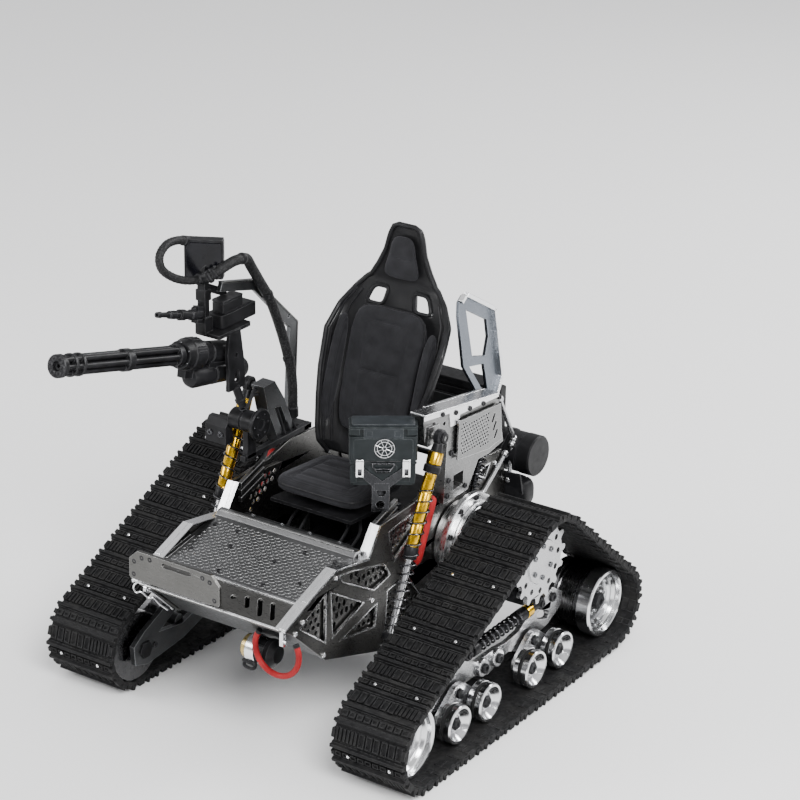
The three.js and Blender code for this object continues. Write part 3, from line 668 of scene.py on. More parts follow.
def track_belt():
    """The rubber band, its grousers, the tiles and slats between them, and the rivets at its edges."""
    low, high = BELT_LOW.x, BELT_HIGH.x
    band, rivets = Form(), Form()
    steps = LINKS * 8
    outer = [on_belt(BELT_LENGTH * i / steps, BAND - 0.6) for i in range(steps)]
    inner = [on_belt(BELT_LENGTH * i / steps, 0) for i in range(steps)]
    band.plate("x", outer, low + 0.5, high - 0.5, [inner])
    tiles = 9
    margin = 1.6
    step = (high - low - 2 * margin) / tiles
    for link in range(LINKS):
        base = link * PITCH
        for share in (0.2, 0.6):
            at = base + share * PITCH
            belt_slab(band, at - 1.6, at + 1.6, 0.9, BAND + 0.3, (low, high), 0.3)
            belt_slab(band, at - 1, at + 1, BAND, GROUSER, (low, high), 0.3)
        for wide, first, last in ((False, 0.305, 0.495), (True, 0.71, 1.09)):
            row_start, row_end = base + first * PITCH, base + last * PITCH
            for x in EDGE_PADS:
                belt_slab(band, row_start + 0.2, row_end - 0.2, 0.3, -INNER_PAD, x, 0.2)
            for i in range(tiles):
                left = low + margin + i * step
                at_edge = i < 3 or i >= tiles - 3
                if wide and at_edge and (i >= tiles - 3) == (link % 2 == 0):
                    for part in (0.12, 0.6):
                        x = (left + step * part, left + step * (part + 0.26))
                        belt_slab(band, row_start + 0.6, row_end - 0.6, BAND - 0.8, BAND + 1.0, x, 0.2)
                else:
                    x = (left + 0.35, left + step - 0.35)
                    belt_tile(band, row_start + 0.35, row_end - 0.35, x, BAND - 0.8, BAND + 0.9)
        for x in ((low, low + 1.8), (high - 1.8, high)):
            for first, last, taper in ((0.32, 0.48, 0.5), (0.75, 1.05, 0.9)):
                belt_slab(band, base + first * PITCH, base + last * PITCH, 0.3, BAND + 1.3, x, taper)
        if link % 2:
            for across in (low + 10, high - 9):
                y, z = on_belt(base + 0.4 * PITCH, BAND - 0.8)
                y1, z1 = on_belt(base + 0.4 * PITCH, BAND + 1.25)
                rivets.rod((across, y, z), (across, y1, z1), 0.95, 10, 0.3)
    make_pair("track_belt", band, RUBBER, "pod", "rubber", "track_belt", sharp=25)
    make_pair("track_rivets", rivets, POLISHED, "pod", "polished")


# ---------- wheels ----------
def road_wheels():
    for number, at in enumerate(WHEELS, 1):
        r = WHEEL_R
        x0, x1 = extent(f"road_wheel_{number}_left")[0].x, FACE
        rim, ring = Form(), Form()
        rim.lathe([
            (x0, 2.4), (x0, r - 3), (x0 + 0.4, r - 2.6), (x0 + 0.4, r - 0.5), (x0 + 0.9, r), (x0 + 3.5, r),
            (x0 + 3.9, r - 0.9), (x0 + 5.3, r - 0.9), (x0 + 5.7, r), (x1 - 0.5, r), (x1, r - 0.5),
            (x1, r - 1.7), (x1 - 0.5, r - 2.2), (x1 - 2.2, r - 3.4), (x1 - 3.6, 5.4), (x1 - 3.6, 4.6),
            (x1 - 3.95, 4.2), (x1 - 3.95, 2.4),
        ], (0, at.y, at.z), sides=40, ring=True)
        groove = x0 + 4.6
        ring.lathe([(groove + 0.8 * math.cos(a), r - 0.85 + 0.75 * math.sin(a))
                    for a in (k * math.pi / 4 for k in range(8))], (0, at.y, at.z), sides=40, ring=True)
        node = f"road_wheel_{number}"
        make_pair(node, rim, POLISHED, node, "aluminium", node, sharp=28)
        make_pair(f"{node}_ring", ring, RUBBER, node, "rubber")


def idlers():
    """The wide wheels at the belt's ends: a polished rim on a dark drum."""
    for end, at in IDLERS.items():
        node = f"idler_{end}"
        x0 = extent(f"{node}_left")[0].x
        r, x1, bore = IDLER_R, FACE, 3.4
        rim, drum = Form(), Form()
        rim.lathe([
            (97.2, 14), (97.2, r - 0.5), (97.7, r), (x1 - 0.6, r), (x1, r - 0.6), (x1, r - 2.2),
            (x1 - 0.6, r - 2.8), (x1 - 2.6, r - 3.4), (x1 - 2.9, r - 4.2), (x1 - 4.6, r - 5.4),
            (x1 - 4.8, 12.4), (x1 - 5.9, 11.2), (x1 - 6, 8.6), (x1 - 5.4, 8.2),
            (x1 - 5.4, 6.4), (x1 - 6.4, 5.6), (x1 - 6.4, bore), (96.8, bore), (96.8, 14),
        ], (0, at.y, at.z), sides=56, ring=True)
        drum.lathe([
            (x0, bore), (x0, r - 0.6), (x0 + 0.6, r), (x0 + 5.6, r), (x0 + 6.2, r - 0.6), (x0 + 6.4, r - 3),
            (x0 + 7, r - 3.4), (88, r - 3.4), (88.4, r - 2.2), (93.6, r - 2.2), (93.8, r - 2.9),
            (94.4, r - 2.9), (94.6, r - 2.2), (96.4, r - 2.2), (96.6, r - 3), (96.6, bore),
        ], (0, at.y, at.z), sides=48, ring=True)
        drum.bolts(x1 - 5.8, ring_spots(5, 7.4, at.yz, 0.3), 0.8, 0.9)
        make_pair(node, rim, POLISHED, node, "aluminium", node, sharp=28)
        make_pair(f"{node}_drum", drum, DARK_STEEL, node, "black_metal", sharp=28)


def sprockets():
    """Two toothed discs on a spool, with the axle that runs in the hub flange."""
    teeth = 15
    flank = ((0.36, 3.6), (0.26, 3.2), (0.13, 0.3), (0.07, 0))
    tooth = [(-share, depth) for share, depth in flank] + list(reversed(flank))
    outline = []
    for i in range(teeth):
        for share, depth in tooth:
            angle, r = (i + share) * 2 * math.pi / teeth, SPROCKET_R - depth
            outline.append((HUB.y + r * math.cos(angle), HUB.z + r * math.sin(angle)))
    holes = [disc(spot, 1.7) for spot in ring_spots(12, 17, HUB.yz)]
    discs, spool = Form(), Form()
    for low in DISC_X:
        discs.plate("x", outline, low, low + 2.4, holes)
    discs.lathe([(101.6, 0), (101.6, 12.5), (104.4, 12.5), (104.9, 12), (105, 0)], (0, *HUB.yz), sides=36)
    spool.bolts(104.8, ring_spots(6, 9, HUB.yz, math.pi / 6), 1.5, 1)
    spool.lathe([(79.3, 0), (79.3, 14.4), (84, 14.4), (84.6, 13.6), (96, 13.6), (96.6, 14.4), (101.5, 14.4),
                 (101.5, 0)], (0, *HUB.yz), sides=36)
    spool.rod((45.4, *HUB.yz), (79.4, *HUB.yz), 4.9, 20)
    make_pair("sprocket", discs, ALUMINIUM, "sprocket", "aluminium", "sprocket", bevel=0.25)
    make_pair("sprocket_spool", spool, GUNMETAL, "sprocket", "aluminium", bevel=0.2)


# ---------- the pod's frame and bogies ----------
INNER_X, MIDDLE_X, BOGIE_X = (66.6, 69.6), (87.5, 90.5), (92, 95)  # where each plate starts and ends
INNER_PLATE = [
    (-80, 18), (-81, 29), (-72, 35), (-36, 51), (26, 92), (38, 100), (58, 100), (70, 93), (122, 35),
    (126, 25), (118, 17), (98, 20), (60, 42), (20, 36), (-40, 18), (-70, 15),
]
MIDDLE_PLATE = [
    (-50, 20), (-50, 31), (-40, 35), (-16, 33), (-11, 38), (-5, 40), (2, 34), (9, 31.5), (27, 31.5),
    (38, 30.5), (50, 32), (60, 38), (74, 41), (84, 45), (95, 38), (93, 30), (80, 24), (69, 22.5), (60, 20),
    (48, 21), (36, 26), (28, 21), (20, 19), (12, 22), (0, 26), (-6, 23), (-13, 19.5), (-24, 19.5),
]
BOSSES = [(12.7, 26.9), (27, 26.8)]
SPACERS = [(-40, 28), (84, 39)]  # bars that hold the middle plate off the inner one


def pod_frame():
    """The inner plate with its axles and spacers, the polished middle plate, and their screws."""
    inner, middle, dark = Form(), Form(), Form()
    windows = [
        [(-60, 30), (-40, 27), (8, 41), (20, 52), (14, 74), (-30, 46)],
        [(68, 50), (96, 28), (108, 27), (112, 31), (76, 72), (70, 66)],
    ]
    inner.plate("x", INNER_PLATE, *INNER_X, windows + [disc(HUB.yz, 5.4, 20)])
    inner.lathe([(65.4, 5.4), (65.4, 14.6), (66.6, 16), (74.6, 16), (75.4, 15.2), (75.4, 5.4)],
                (0, *HUB.yz), sides=36, ring=True)
    slots = [disc((-36, 26.5), 2.4, 14, 5, math.pi / 2), disc((75, 32), 2.6, 14, 4, 1.2)]
    middle.plate("x", MIDDLE_PLATE, *MIDDLE_X, slots)
    for spot in BOSSES:
        middle.lathe([(90.2, 0), (90.2, 5.2), (92.4, 5.2), (92.9, 4.7), (92.9, 0)], (0, *spot), sides=28)
    dark.bolts(92.7, BOSSES, 2.8, 1.8)
    for spot in SPACERS:
        inner.rod((69, *spot), (88, *spot), 3.5)
    dark.bolts(90.4, SPACERS, 2.6, 1.6)
    for y in PIVOTS:
        dark.lathe([(87.6, 0), (87.6, 2.6), (96.4, 2.6), (96.6, 2.2), (96.6, 0)], (0, y, PIVOT_Z), sides=18)
    for at in IDLERS.values():
        inner.rod((67, at.y, at.z), (100, at.y, at.z), 2.9, 18)
        dark.lathe([(65.6, 0), (65.6, 5), (66.8, 5), (66.8, 0)], (0, at.y, at.z), sides=6)
        dark.lathe([(99.4, 0), (99.4, 4.6), (100, 4.7), (102.2, 4.6), (102.5, 4.1), (102.5, 2), (101.5, 1.8),
                    (101.5, 0)], (0, at.y, at.z), sides=6)
    inner.rod((SHOCK_X - 4, *SHOCK_BOTTOM), (69, *SHOCK_BOTTOM), 1.95, 14)
    dark.bolts(66.7, ((-64, 24), (-24, 44), (44, 96), (62, 92), (100, 52)), 1.8, 1, RIGHTWARD)
    make_pair("pod_frame", inner, GUNMETAL, "pod", "aluminium", "pod_frame", bevel=0.35)
    make_pair("pod_middle_plate", middle, ALUMINIUM, "pod", "aluminium", bevel=0.45)
    make_pair("pod_screws", dark, BLACK_METAL, "pod", "black_metal")


def bogies():
    for end, pivot, (first, last) in (("front", PIVOTS[0], WHEELS[:2]), ("rear", PIVOTS[1], WHEELS[2:])):
        arm, nuts = Form(), Form()
        outline = [
            (first.y - 4, first.z - 2.4), (first.y - 4.4, first.z), (first.y - 3.6, first.z + 3),
            (pivot - 5, PIVOT_Z + 4), (pivot - 3, PIVOT_Z + 5), (pivot + 3, PIVOT_Z + 5),
            (pivot + 5, PIVOT_Z + 4), (last.y + 3.6, last.z + 3), (last.y + 4.4, last.z),
            (last.y + 4, last.z - 2.4), (pivot + 6, first.z - 1), (pivot - 6, first.z - 1),
        ]
        slot = disc((pivot, first.z + 2.2), 1.3, 12, 1, 1.57)
        arm.plate("x", outline, *BOGIE_X, [disc((pivot, PIVOT_Z), 3, 18), slot])
        for wheel in (first, last):
            arm.rod((94, *wheel.yz), (102.2, *wheel.yz), 1.95, 14)
            nuts.lathe([(102, 0), (102, 3.4), (103.5, 3.4), (104, 2.9), (104, 1.4), (103.2, 1.3), (103.2, 0)],
                       (0, *wheel.yz), sides=6)
        make_pair(f"bogie_{end}", arm, ALUMINIUM, f"bogie_{end}", "aluminium", f"bogie_{end}", bevel=0.35)
        make_pair(f"bogie_{end}_nuts", nuts, BLACK_METAL, f"bogie_{end}", "black_metal")


def coil(form, start, end, turns, reach, wire):
    """A coil spring: a wire wound about the line from start to end."""
    start, end = Vector(start), Vector(end)
    side, up = square_to((end - start).normalized())
    count = turns * 14
    path = []
    for i in range(count + 1):
        angle = 2 * math.pi * turns * i / count
        path.append(start.lerp(end, i / count) + (side * math.cos(angle) + up * math.sin(angle)) * reach)
    return form.tube(path, wire, 8)


def pod_damper():
    """The small coil-over that lies along the pod's middle plate."""
    start, end = Vector((95, -9, 45)), Vector((95, 62, 45.7))
    metal_part, spring, collar = Form(), Form(), Form()
    for first, last, *section in ((0.04, 0.74, 2.1), (0.06, 0.13, 3.7, 20, 0.4), (0.88, 0.97, 2.6, 18, 0.4),
                                  (0.70, 0.79, 3.7, 20, 0.4)):
        metal_part.rod(start.lerp(end, first), start.lerp(end, last), *section)
    for spot in (start, end):
        metal_part.rod(spot - Vector((2.6, 0, 0)), spot + Vector((2.4, 0, 0)), 3.4, 20, 0.5)
        metal_part.rod(spot - Vector((7.4, 0, 0)), spot - Vector((2, 0, 0)), 1.5, 12)
        metal_part.bolt(spot + Vector((2.3, 0, 0)), "x", 2, 1.2)
    metal_part.box((87.6, 90.4), (-12, -6), (36, 48))
    metal_part.box((87.6, 90.4), (59, 66), (34, 48))
    coil(spring, start.lerp(end, 0.13), start.lerp(end, 0.70), 9, 3.1, 0.62)
    collar.lathe([(0, 2), (0, 3.3), (0.4, 3.6), (4.6, 3.6), (5, 3.3), (5, 2)], start.lerp(end, 0.8),
                 end - start, 22, ring=True)
    make_pair("pod_damper", metal_part, BLACK_METAL, "pod", "black_metal", bevel=0.2)
    make_pair("pod_damper_spring", spring, SPRING, "pod", "spring_steel")
    make_pair("pod_damper_collar", collar, GOLD, "pod", "gold")


# ---------- the long coil-over dampers ----------
SHOCK_X = centre("shock_body_left").x
SHOCK_TOP = (13.2, 150.4)
SHOCK_BOTTOM = (-33.8, 44.7)
SHOCK_START = Vector((SHOCK_X, *SHOCK_TOP))
SHOCK_LINE = Vector((SHOCK_X, *SHOCK_BOTTOM)) - SHOCK_START
SHOCK_LENGTH = SHOCK_LINE.length


def along_shock(profile, form, sides=24, ring=False):
    """A turned part on the damper: profile distances are shares of the eye-to-eye length."""
    turned = [(share * SHOCK_LENGTH, r) for share, r in profile]
    return form.lathe(turned, SHOCK_START, SHOCK_LINE, sides, ring)


def eye(form, at, outer, bore, half):
    """A rod end: a ring about X, with rounded shoulders."""
    return form.lathe([(-half, bore), (-half, outer - 0.8), (-half + 0.7, outer), (half - 0.7, outer),
                       (half, outer - 0.8), (half, bore)], (SHOCK_X, *at), sides=26, ring=True)


def shocks():
    """The gold body with its black ends, the shaft with its foot, and the spring that joins them."""
    gold, head, shaft, foot = Form(), Form(), Form(), Form()
    profile = [(0.166, 0), (0.166, 3.2)]
    for groove in (0.25, 0.395, 0.49):
        profile += [(groove, 3.35), (groove + 0.004, 3.2), (groove + 0.008, 3.35)]
    profile += [(0.5, 3.3), (0.504, 3.0), (0.504, 2.3), (0.34, 2.3), (0.34, 0)]
    along_shock(profile, gold, 32)
    along_shock([(0.068, 0), (0.068, 3.7), (0.073, 4.0), (0.122, 4.0), (0.126, 3.7), (0.126, 0)], gold, 32)
    along_shock([(0.127, 0), (0.127, 4.1), (0.132, 4.5), (0.158, 4.5), (0.163, 4.1), (0.163, 0)], head, 32)
    end_ring = [(0.502, 2.3), (0.502, 3.35), (0.507, 3.6), (0.552, 3.6), (0.558, 3.2), (0.56, 2.3)]
    along_shock(end_ring, head, 32, ring=True)
    along_shock([(0.028, 0), (0.028, 2.4), (0.05, 2.9), (0.067, 3.1), (0.067, 0)], head)
    eye(head, SHOCK_TOP, 4.2, 2.5, 2.2)
    along_shock([(0.42, 0), (0.42, 1.9), (0.925, 1.9), (0.925, 0)], shaft)
    along_shock([(0.896, 0), (0.896, 4.0), (0.9, 4.3), (0.925, 4.3), (0.93, 4.0), (0.93, 0)], foot, 32)
    along_shock([(0.93, 0), (0.93, 2.5), (0.955, 2.3), (0.97, 1.9), (0.97, 0)], foot)
    eye(foot, SHOCK_BOTTOM, 5.0, 3.3, 2.4)
    make_pair("shock_body", gold, GOLD, "shock_body", "gold", "shock_body", sharp=30)
    make_pair("shock_head", head, BLACK_METAL, "shock_body", "black_metal", sharp=30)
    make_pair("shock_shaft", shaft, POLISHED, "shock_shaft", "polished", "shock_shaft")
    make_pair("shock_foot", foot, BLACK_METAL, "shock_shaft", "black_metal", sharp=30)
    shock_springs()


def shock_springs():
    """One black spring for each damper: open turns over the gold body, closer ones over the shaft."""
    side, up = square_to(SHOCK_LINE.normalized())
    path, steps = [], 16
    stations = [(0.236, 0.0), (0.56, 6.5), (0.893, 15.0)]
    for (share0, turn0), (share1, turn1) in zip(stations, stations[1:]):
        count = int((turn1 - turn0) * steps)
        for i in range(count):
            part = i / count
            angle = 2 * math.pi * (turn0 + (turn1 - turn0) * part)
            point = SHOCK_START + SHOCK_LINE * (share0 + (share1 - share0) * part)
            path.append(point + (side * math.cos(angle) + up * math.sin(angle)) * 4.05)
    wire = Form().tube(path, 0.42, 8)
    for hand, form in (("left", wire), ("right", wire.mirrored())):
        spring = make(f"shock_coil_{hand}", form, SPRING, "", "spring_steel", f"shock_spring_{hand}",
                      ride=False)
        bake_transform(spring)


# ---------- hubs on the tub's sides ----------
def hub_flanges():
    """The turned flange that each pod hangs on, with two rings of screws."""
    flange, screws = Form(), Form()
    flange.lathe([
        (48.9, 5.6), (48.9, 19.4), (49.5, 20), (56.2, 20), (56.2, 25.6), (56.9, 26.5), (59.8, 26.5),
        (60.4, 25.9), (60.4, 22.3), (61.6, 22.3), (61.9, 21.6), (64.2, 21.6),
        (64.4, 20.6), (65, 20), (65, 5.6),
    ], (0, *HUB.yz), sides=72, ring=True)
    screws.bolts(60.2, ring_spots(10, 24.2, HUB.yz, 0.2), 1.6, 1.3)
    screws.bolts(56.4, ring_spots(10, 23, HUB.yz, 0.2), 1.5, 1.1, RIGHTWARD)
    make_pair("hub_flange", flange, TURNED, "root", "aluminium", "hub_flange", sharp=25)
    make_pair("hub_screws", screws, BLACK_METAL, "root", "black_metal")


# ---------- the tub ----------
TUB_OUT = extent("side_truss_left")[1].x
TUB_IN = extent("side_truss_left")[0].x
DECK_HALF = extent("footplate")[1].x
TRUSS = [
    (-102.7, 82.7), (-84, 90.4), (-60, 99.4), (-31, 94.8), (-20.7, 109.3), (10, 111), (30, 116), (95, 112),
    (104, 80), (96, 42), (-14, 35.1), (-68.3, 52.4), (-95.2, 77.4),
]
WINDOWS = [
    [(-67.6, 90.2), (-68, 61.5), (-91, 79.2)],
    [(-64.3, 89.4), (-34, 71.2), (-62.6, 62.2)],
    [(-58, 95.6), (-44.9, 93.8), (-16, 86.2), (-10.5, 77.5), (-25.8, 74.5), (-53.8, 90.2)],
    [(-55.4, 58), (-24, 53), (-22.4, 66.5), (-28.6, 65.3)],
    [(-14, 70), (-16, 41.5), (16, 43), (20, 52), (4, 72)],
    [(-14, 103), (-8, 84), (14, 96), (19, 105), (8, 106)],
    [(64, 108), (79, 100), (84, 108)],
    [(78, 92), (97, 76), (92, 50), (72, 56), (76, 62), (80, 76)],
]


def side_trusses():
    frame_form, sheet, rims = Form(), Form(), Form()
    frame_form.plate("x", TRUSS, TUB_IN + 1.3, TUB_OUT, WINDOWS + [disc(HUB.yz, 5.4, 20)])
    for i, window in enumerate(WINDOWS):
        cover = shrunk(window, -1.2)
        stretch = 0.5 if i in (1, 2) else 0
        sheet.plate("x", cover, TUB_IN + 0.2, TUB_IN + 1.1, perforation(window, 4.3, 1.5, 0.3, stretch, 6))
        rims.plate("x", window, TUB_OUT - 1.2, TUB_OUT + 0.12, [shrunk(window, 0.7)])
    edge = TRUSS[:5]
    under = [(y + 0.25, z - 0.9) for y, z in reversed(edge)]
    rims.plate("x", edge + under, TUB_OUT - 0.9, TUB_OUT + 0.15)
    rims.edging(edge, 0.5, TUB_IN - 2.6, TUB_OUT + 0.1)
    make_pair("side_truss", frame_form, SATIN, "root", "gunmetal", "side_truss", bevel=0.4)
    make_pair("side_panels", sheet, SATIN, "root", "gunmetal")
    make_pair("side_rims", rims, BRIGHT, "root", "aluminium")


def side_details():
    """The bright tab behind the deck, the sill ribs, the red strap tube and the screws."""
    tab, ribs, tube, screws = Form(), Form(), Form(), Form()
    tab.plate("x", [(-32.4, 95.2), (-31, 94.9), (-20.9, 109.2), (-22.2, 110.2)], TUB_IN - 0.4, TUB_OUT + 0.3)
    tab.plate("x", [(-95.4, 85.9), (-84.2, 90.5), (-84.4, 91.2), (-102.6, 83.7), (-102.7, 82.9)],
              TUB_IN - 0.2, TUB_OUT + 0.25)
    tab.plate("x", [(-84, 90.5), (-60, 99.5), (-60.2, 100.3), (-84.3, 91.3)], TUB_IN + 0.2, TUB_OUT + 0.2)
    for i in range(3):
        low = 97.5 + 4.2 * i
        ribs.plate("x", [(-19.5, low), (1, low + 6.5), (1, low + 9.4), (-19.5, low + 2.9)], 41.8, 44.4)
    tube.tube(smooth_path([(52, 22.5, 111.5), (52, 19, 104), (52, 12.5, 89), (52, 7.4, 77)], 18),
              lambda s: 2.6 * math.sqrt(max(0.05, 1 - (2 * s - 1) ** 10)), 16)
    spots = ((-60, 95.2), (-88, 82), (-94, 78), (-70, 56), (-18, 39), (30, 42), (88, 46), (96, 84), (88, 106),
             (40, 108), (-28, 70), (66, 52))
    screws.bolts(TUB_OUT - 0.2, spots, 1.35, 1)
    make_pair("deck_tab", tab, BRIGHT, "root", "aluminium", bevel=0.25)
    make_pair("sill_ribs", ribs, STEEL, "root", "aluminium", bevel=0.4)
    make_pair("side_strap", tube, RED, "root", "red_webbing")
    make_pair("side_screws", screws, BRIGHT, "root", "polished")


# The tread plate's top face slopes up to the rear, from DECK_LOW to DECK_BREAK.
DECK_LOW = Vector((0, -83.6, 89.2))
DECK_BREAK = Vector((0, -38, 97.2))
DECK_SLOPE = (DECK_BREAK - DECK_LOW).normalized()
DECK_UP = Vector((0, -DECK_SLOPE.z, DECK_SLOPE.y))


def deck_spot(x, share, lift=0.0):
    """A point on the tread plate: x across, and a share of the way from its front to its rear."""
    point = DECK_LOW.lerp(DECK_BREAK, share) + DECK_UP * lift
    return Vector((x, point.y, point.z))


def footplate():
    """The tread plate with its lozenges and screws, and the rails along its sides and rear."""
    plate, lugs, screws, rails = Form(), Form(), Form(), Form()
    half = DECK_HALF
    plate.plate("x", [(-83.6, 87.2), (-38, 95), (-38, 97), (-83.6, 89.1)], -half, half)
    plate.plate("x", [(-38.4, 95.2), (-36, 97.6), (-32.6, 97.6), (-32.6, 99.4), (-36.4, 99.4), (-38.4, 97.2)],
                -half, half)
    plate.plate("x", [(-34.6, 93), (-32.8, 93), (-32.8, 97.4), (-34.6, 97.4)], -half, half)
    columns, rows, margin = 38, 20, 5
    for i in range(columns):
        for j in range(rows):
            x = -half + margin + 2 * (half - margin) * i / (columns - 1)
            turn = math.radians(40 if (i + j) % 2 else -40)
            lug(lugs, x, 0.05 + 0.86 * j / (rows - 1), turn)
    for x, y in ((-18.9, -59), (9.7, -59.7), (17.2, -79), (-10.8, -79), (19.4, -46), (-24, -46), (33, -70),
                 (-36, -70), (38, -46), (-39, -46)):
        share = (y - DECK_LOW.y) / (DECK_BREAK.y - DECK_LOW.y)
        screws.bolt(deck_spot(x, share, -0.1), DECK_UP, 1.25, 0.7)
    for low, high in ((0.3 - half, 3.6 - half), (half - 3.6, half - 0.3)):
        for lane in ((low, low + 0.9), (high - 1.6, high)):
            rails.plate("x", [(-83.4, 89.0), (-60.4, 93.2), (-60.4, 94.3), (-83.4, 90.1)], *lane)
    rails.plate("x", [(-38.2, 97), (-37, 98.6), (-36.8, 99.6), (-36, 100.1), (-35.6, 99.3), (-37.4, 96.8)],
                -half + 2, half - 2)
    make("footplate", plate, TREAD, "root", "aluminium", "footplate", bevel=0.3)
    make("footplate_lugs", lugs, TREAD, "root", "aluminium", sharp=60)
    make("footplate_screws", screws, BLACK_METAL, "root", "black_metal")
    make("footplate_rails", rails, STEEL, "root", "aluminium", bevel=0.2)


def lug(form, x, share, turn):
    """One raised lozenge of the tread pattern."""
    length, width, height = 1.15, 0.34, 0.26
    rows = []
    for level, size in ((-0.1, 1.0), (height * 0.7, 0.8), (height, 0.45)):
        row = []
        for a, b in ((-1, 0), (-0.35, -1), (0.35, -1), (1, 0), (0.35, 1), (-0.35, 1)):
            across = size * (a * length * math.cos(turn) - b * width * math.sin(turn))
            onward = size * (a * length * math.sin(turn) + b * width * math.cos(turn))
            row.append(deck_spot(x + across, share, level) + DECK_SLOPE * onward)
        rows.append(row)
    form.skin(rows)


def nose():
    """The sloping panel below the deck, with its slots, the bumper plate, pins and the winch."""
    panel, edges, bumper, screws = Form(), Form(), Form(), Form()
    half = DECK_HALF
    length, _, _, panel.place = slope(Vector((0, -84.2, 88.7)), Vector((0, -102.4, 82.3)))
    openings = [disc((8.3, 8), 1.5)]
    for x, y, stretch in ((17.1, 8.3, 3.2), (25.6, 9, 5.2), (33.4, 9, 5.2)):
        openings.append(disc((x, y), 1.2, 14, stretch, -0.58))
    openings += [[(-x, y) for x, y in hole] for hole in openings]
    outline = [(-half, 0.3), (half, 0.3), (half, length - 0.4), (-half, length - 0.4)]
    panel.plate("z", outline, -2, -0.2, openings)
    edges.plate("x", [(-84, 88.4), (-83.9, 89.5), (-85.2, 89.2), (-85.2, 88)], -half, half)
    edges.plate("x", [(-102.3, 81.9), (-101.2, 82.6), (-102.2, 83.4), (-103, 82.6)], -half, half)
    for x in (-half, half - 3):
        edges.plate("x", [(-95, 77.9), (-93.4, 78.2), (-100.4, 83.4), (-102, 82.9)], x, x + 3)
    front = extent("bumper_plate")[0].y
    slot = rounded((-26.6, 97.6), (-8, 99.7), 1.0)
    outline = [(-48, 86.6), (-47, 85.6), (9, 85.6), (10, 86.6), (10, 96.5), (5, 102), (-42.5, 102), (-48, 97)]
    bumper.plate("y", outline, front, front + 2, [slot])
    for x in (-38, 0):
        bumper.plate("x", [(-103.6, 84.2), (-97, 86.4), (-97, 88.4), (-103.6, 88.4)], x - 3, x + 3)
    for x, z in ((-0.6, 99), (4, 97.8), (6.8, 88.6), (-34.4, 99.4), (-39.6, 99), (-44.6, 95.8), (-45, 88.6)):
        washer = [(0, 0.6), (0, 1.5), (0.19, 1.2), (0.19, 0.6)]
        screws.lathe(washer, (x, front + 0.05, z), (0, -1, 0), 14, ring=True)
        screws.bolt((x, front + 1.8, z), "y", 1.3, 1)
    make("front_panel", panel, SATIN, "root", "gunmetal", "front_panel", bevel=0.25)
    make("front_edges", edges, BRIGHT, "root", "aluminium", bevel=0.2)
    make("bumper_plate", bumper, SATIN, "root", "aluminium", "bumper_plate", bevel=0.4)
    make("bumper_screws", screws, BLACK_METAL, "root", "polished")
    pins()
    winch()





def pins():
    """The hairpin and the shackle that hang under the nose."""
    clips = Form()
    hairpin = [(-43, -101, 81.5), (-46, -101.4, 81.9), (-48.4, -101.6, 79), (-46.6, -101.8, 76.2),
               (-43, -102, 77.6), (-38.3, -102, 75.7), (-35, -102, 76.6), (-31.8, -101.6, 74.2),
               (-26.6, -101, 71.8)]
    straight = [(-43, -101, 81), (-40, -100.6, 79.6), (-33, -100.4, 77), (-24, -100, 72.6)]
    for points, steps in ((hairpin, 50), (straight, 24)):
        clips.tube(smooth_path(points, steps), 0.5, 8)
    clips.band((-41, -99.6, 79.4), "x", 0.9, 1.4, 2.5, 18)
    clips.plate("x", [(-98.6, 79), (-96.4, 80.4), (-95.6, 72.8), (-97, 70.8), (-98.8, 71.6)], 42.2, 44.4,
                [disc((-97.2, 73.4), 0.8, 12)])
    clips.rod((41.4, -97.2, 73.4), (45.4, -97.2, 73.4), 0.75, 10)
    make("nose_clips", clips, POLISHED, "root", "polished")


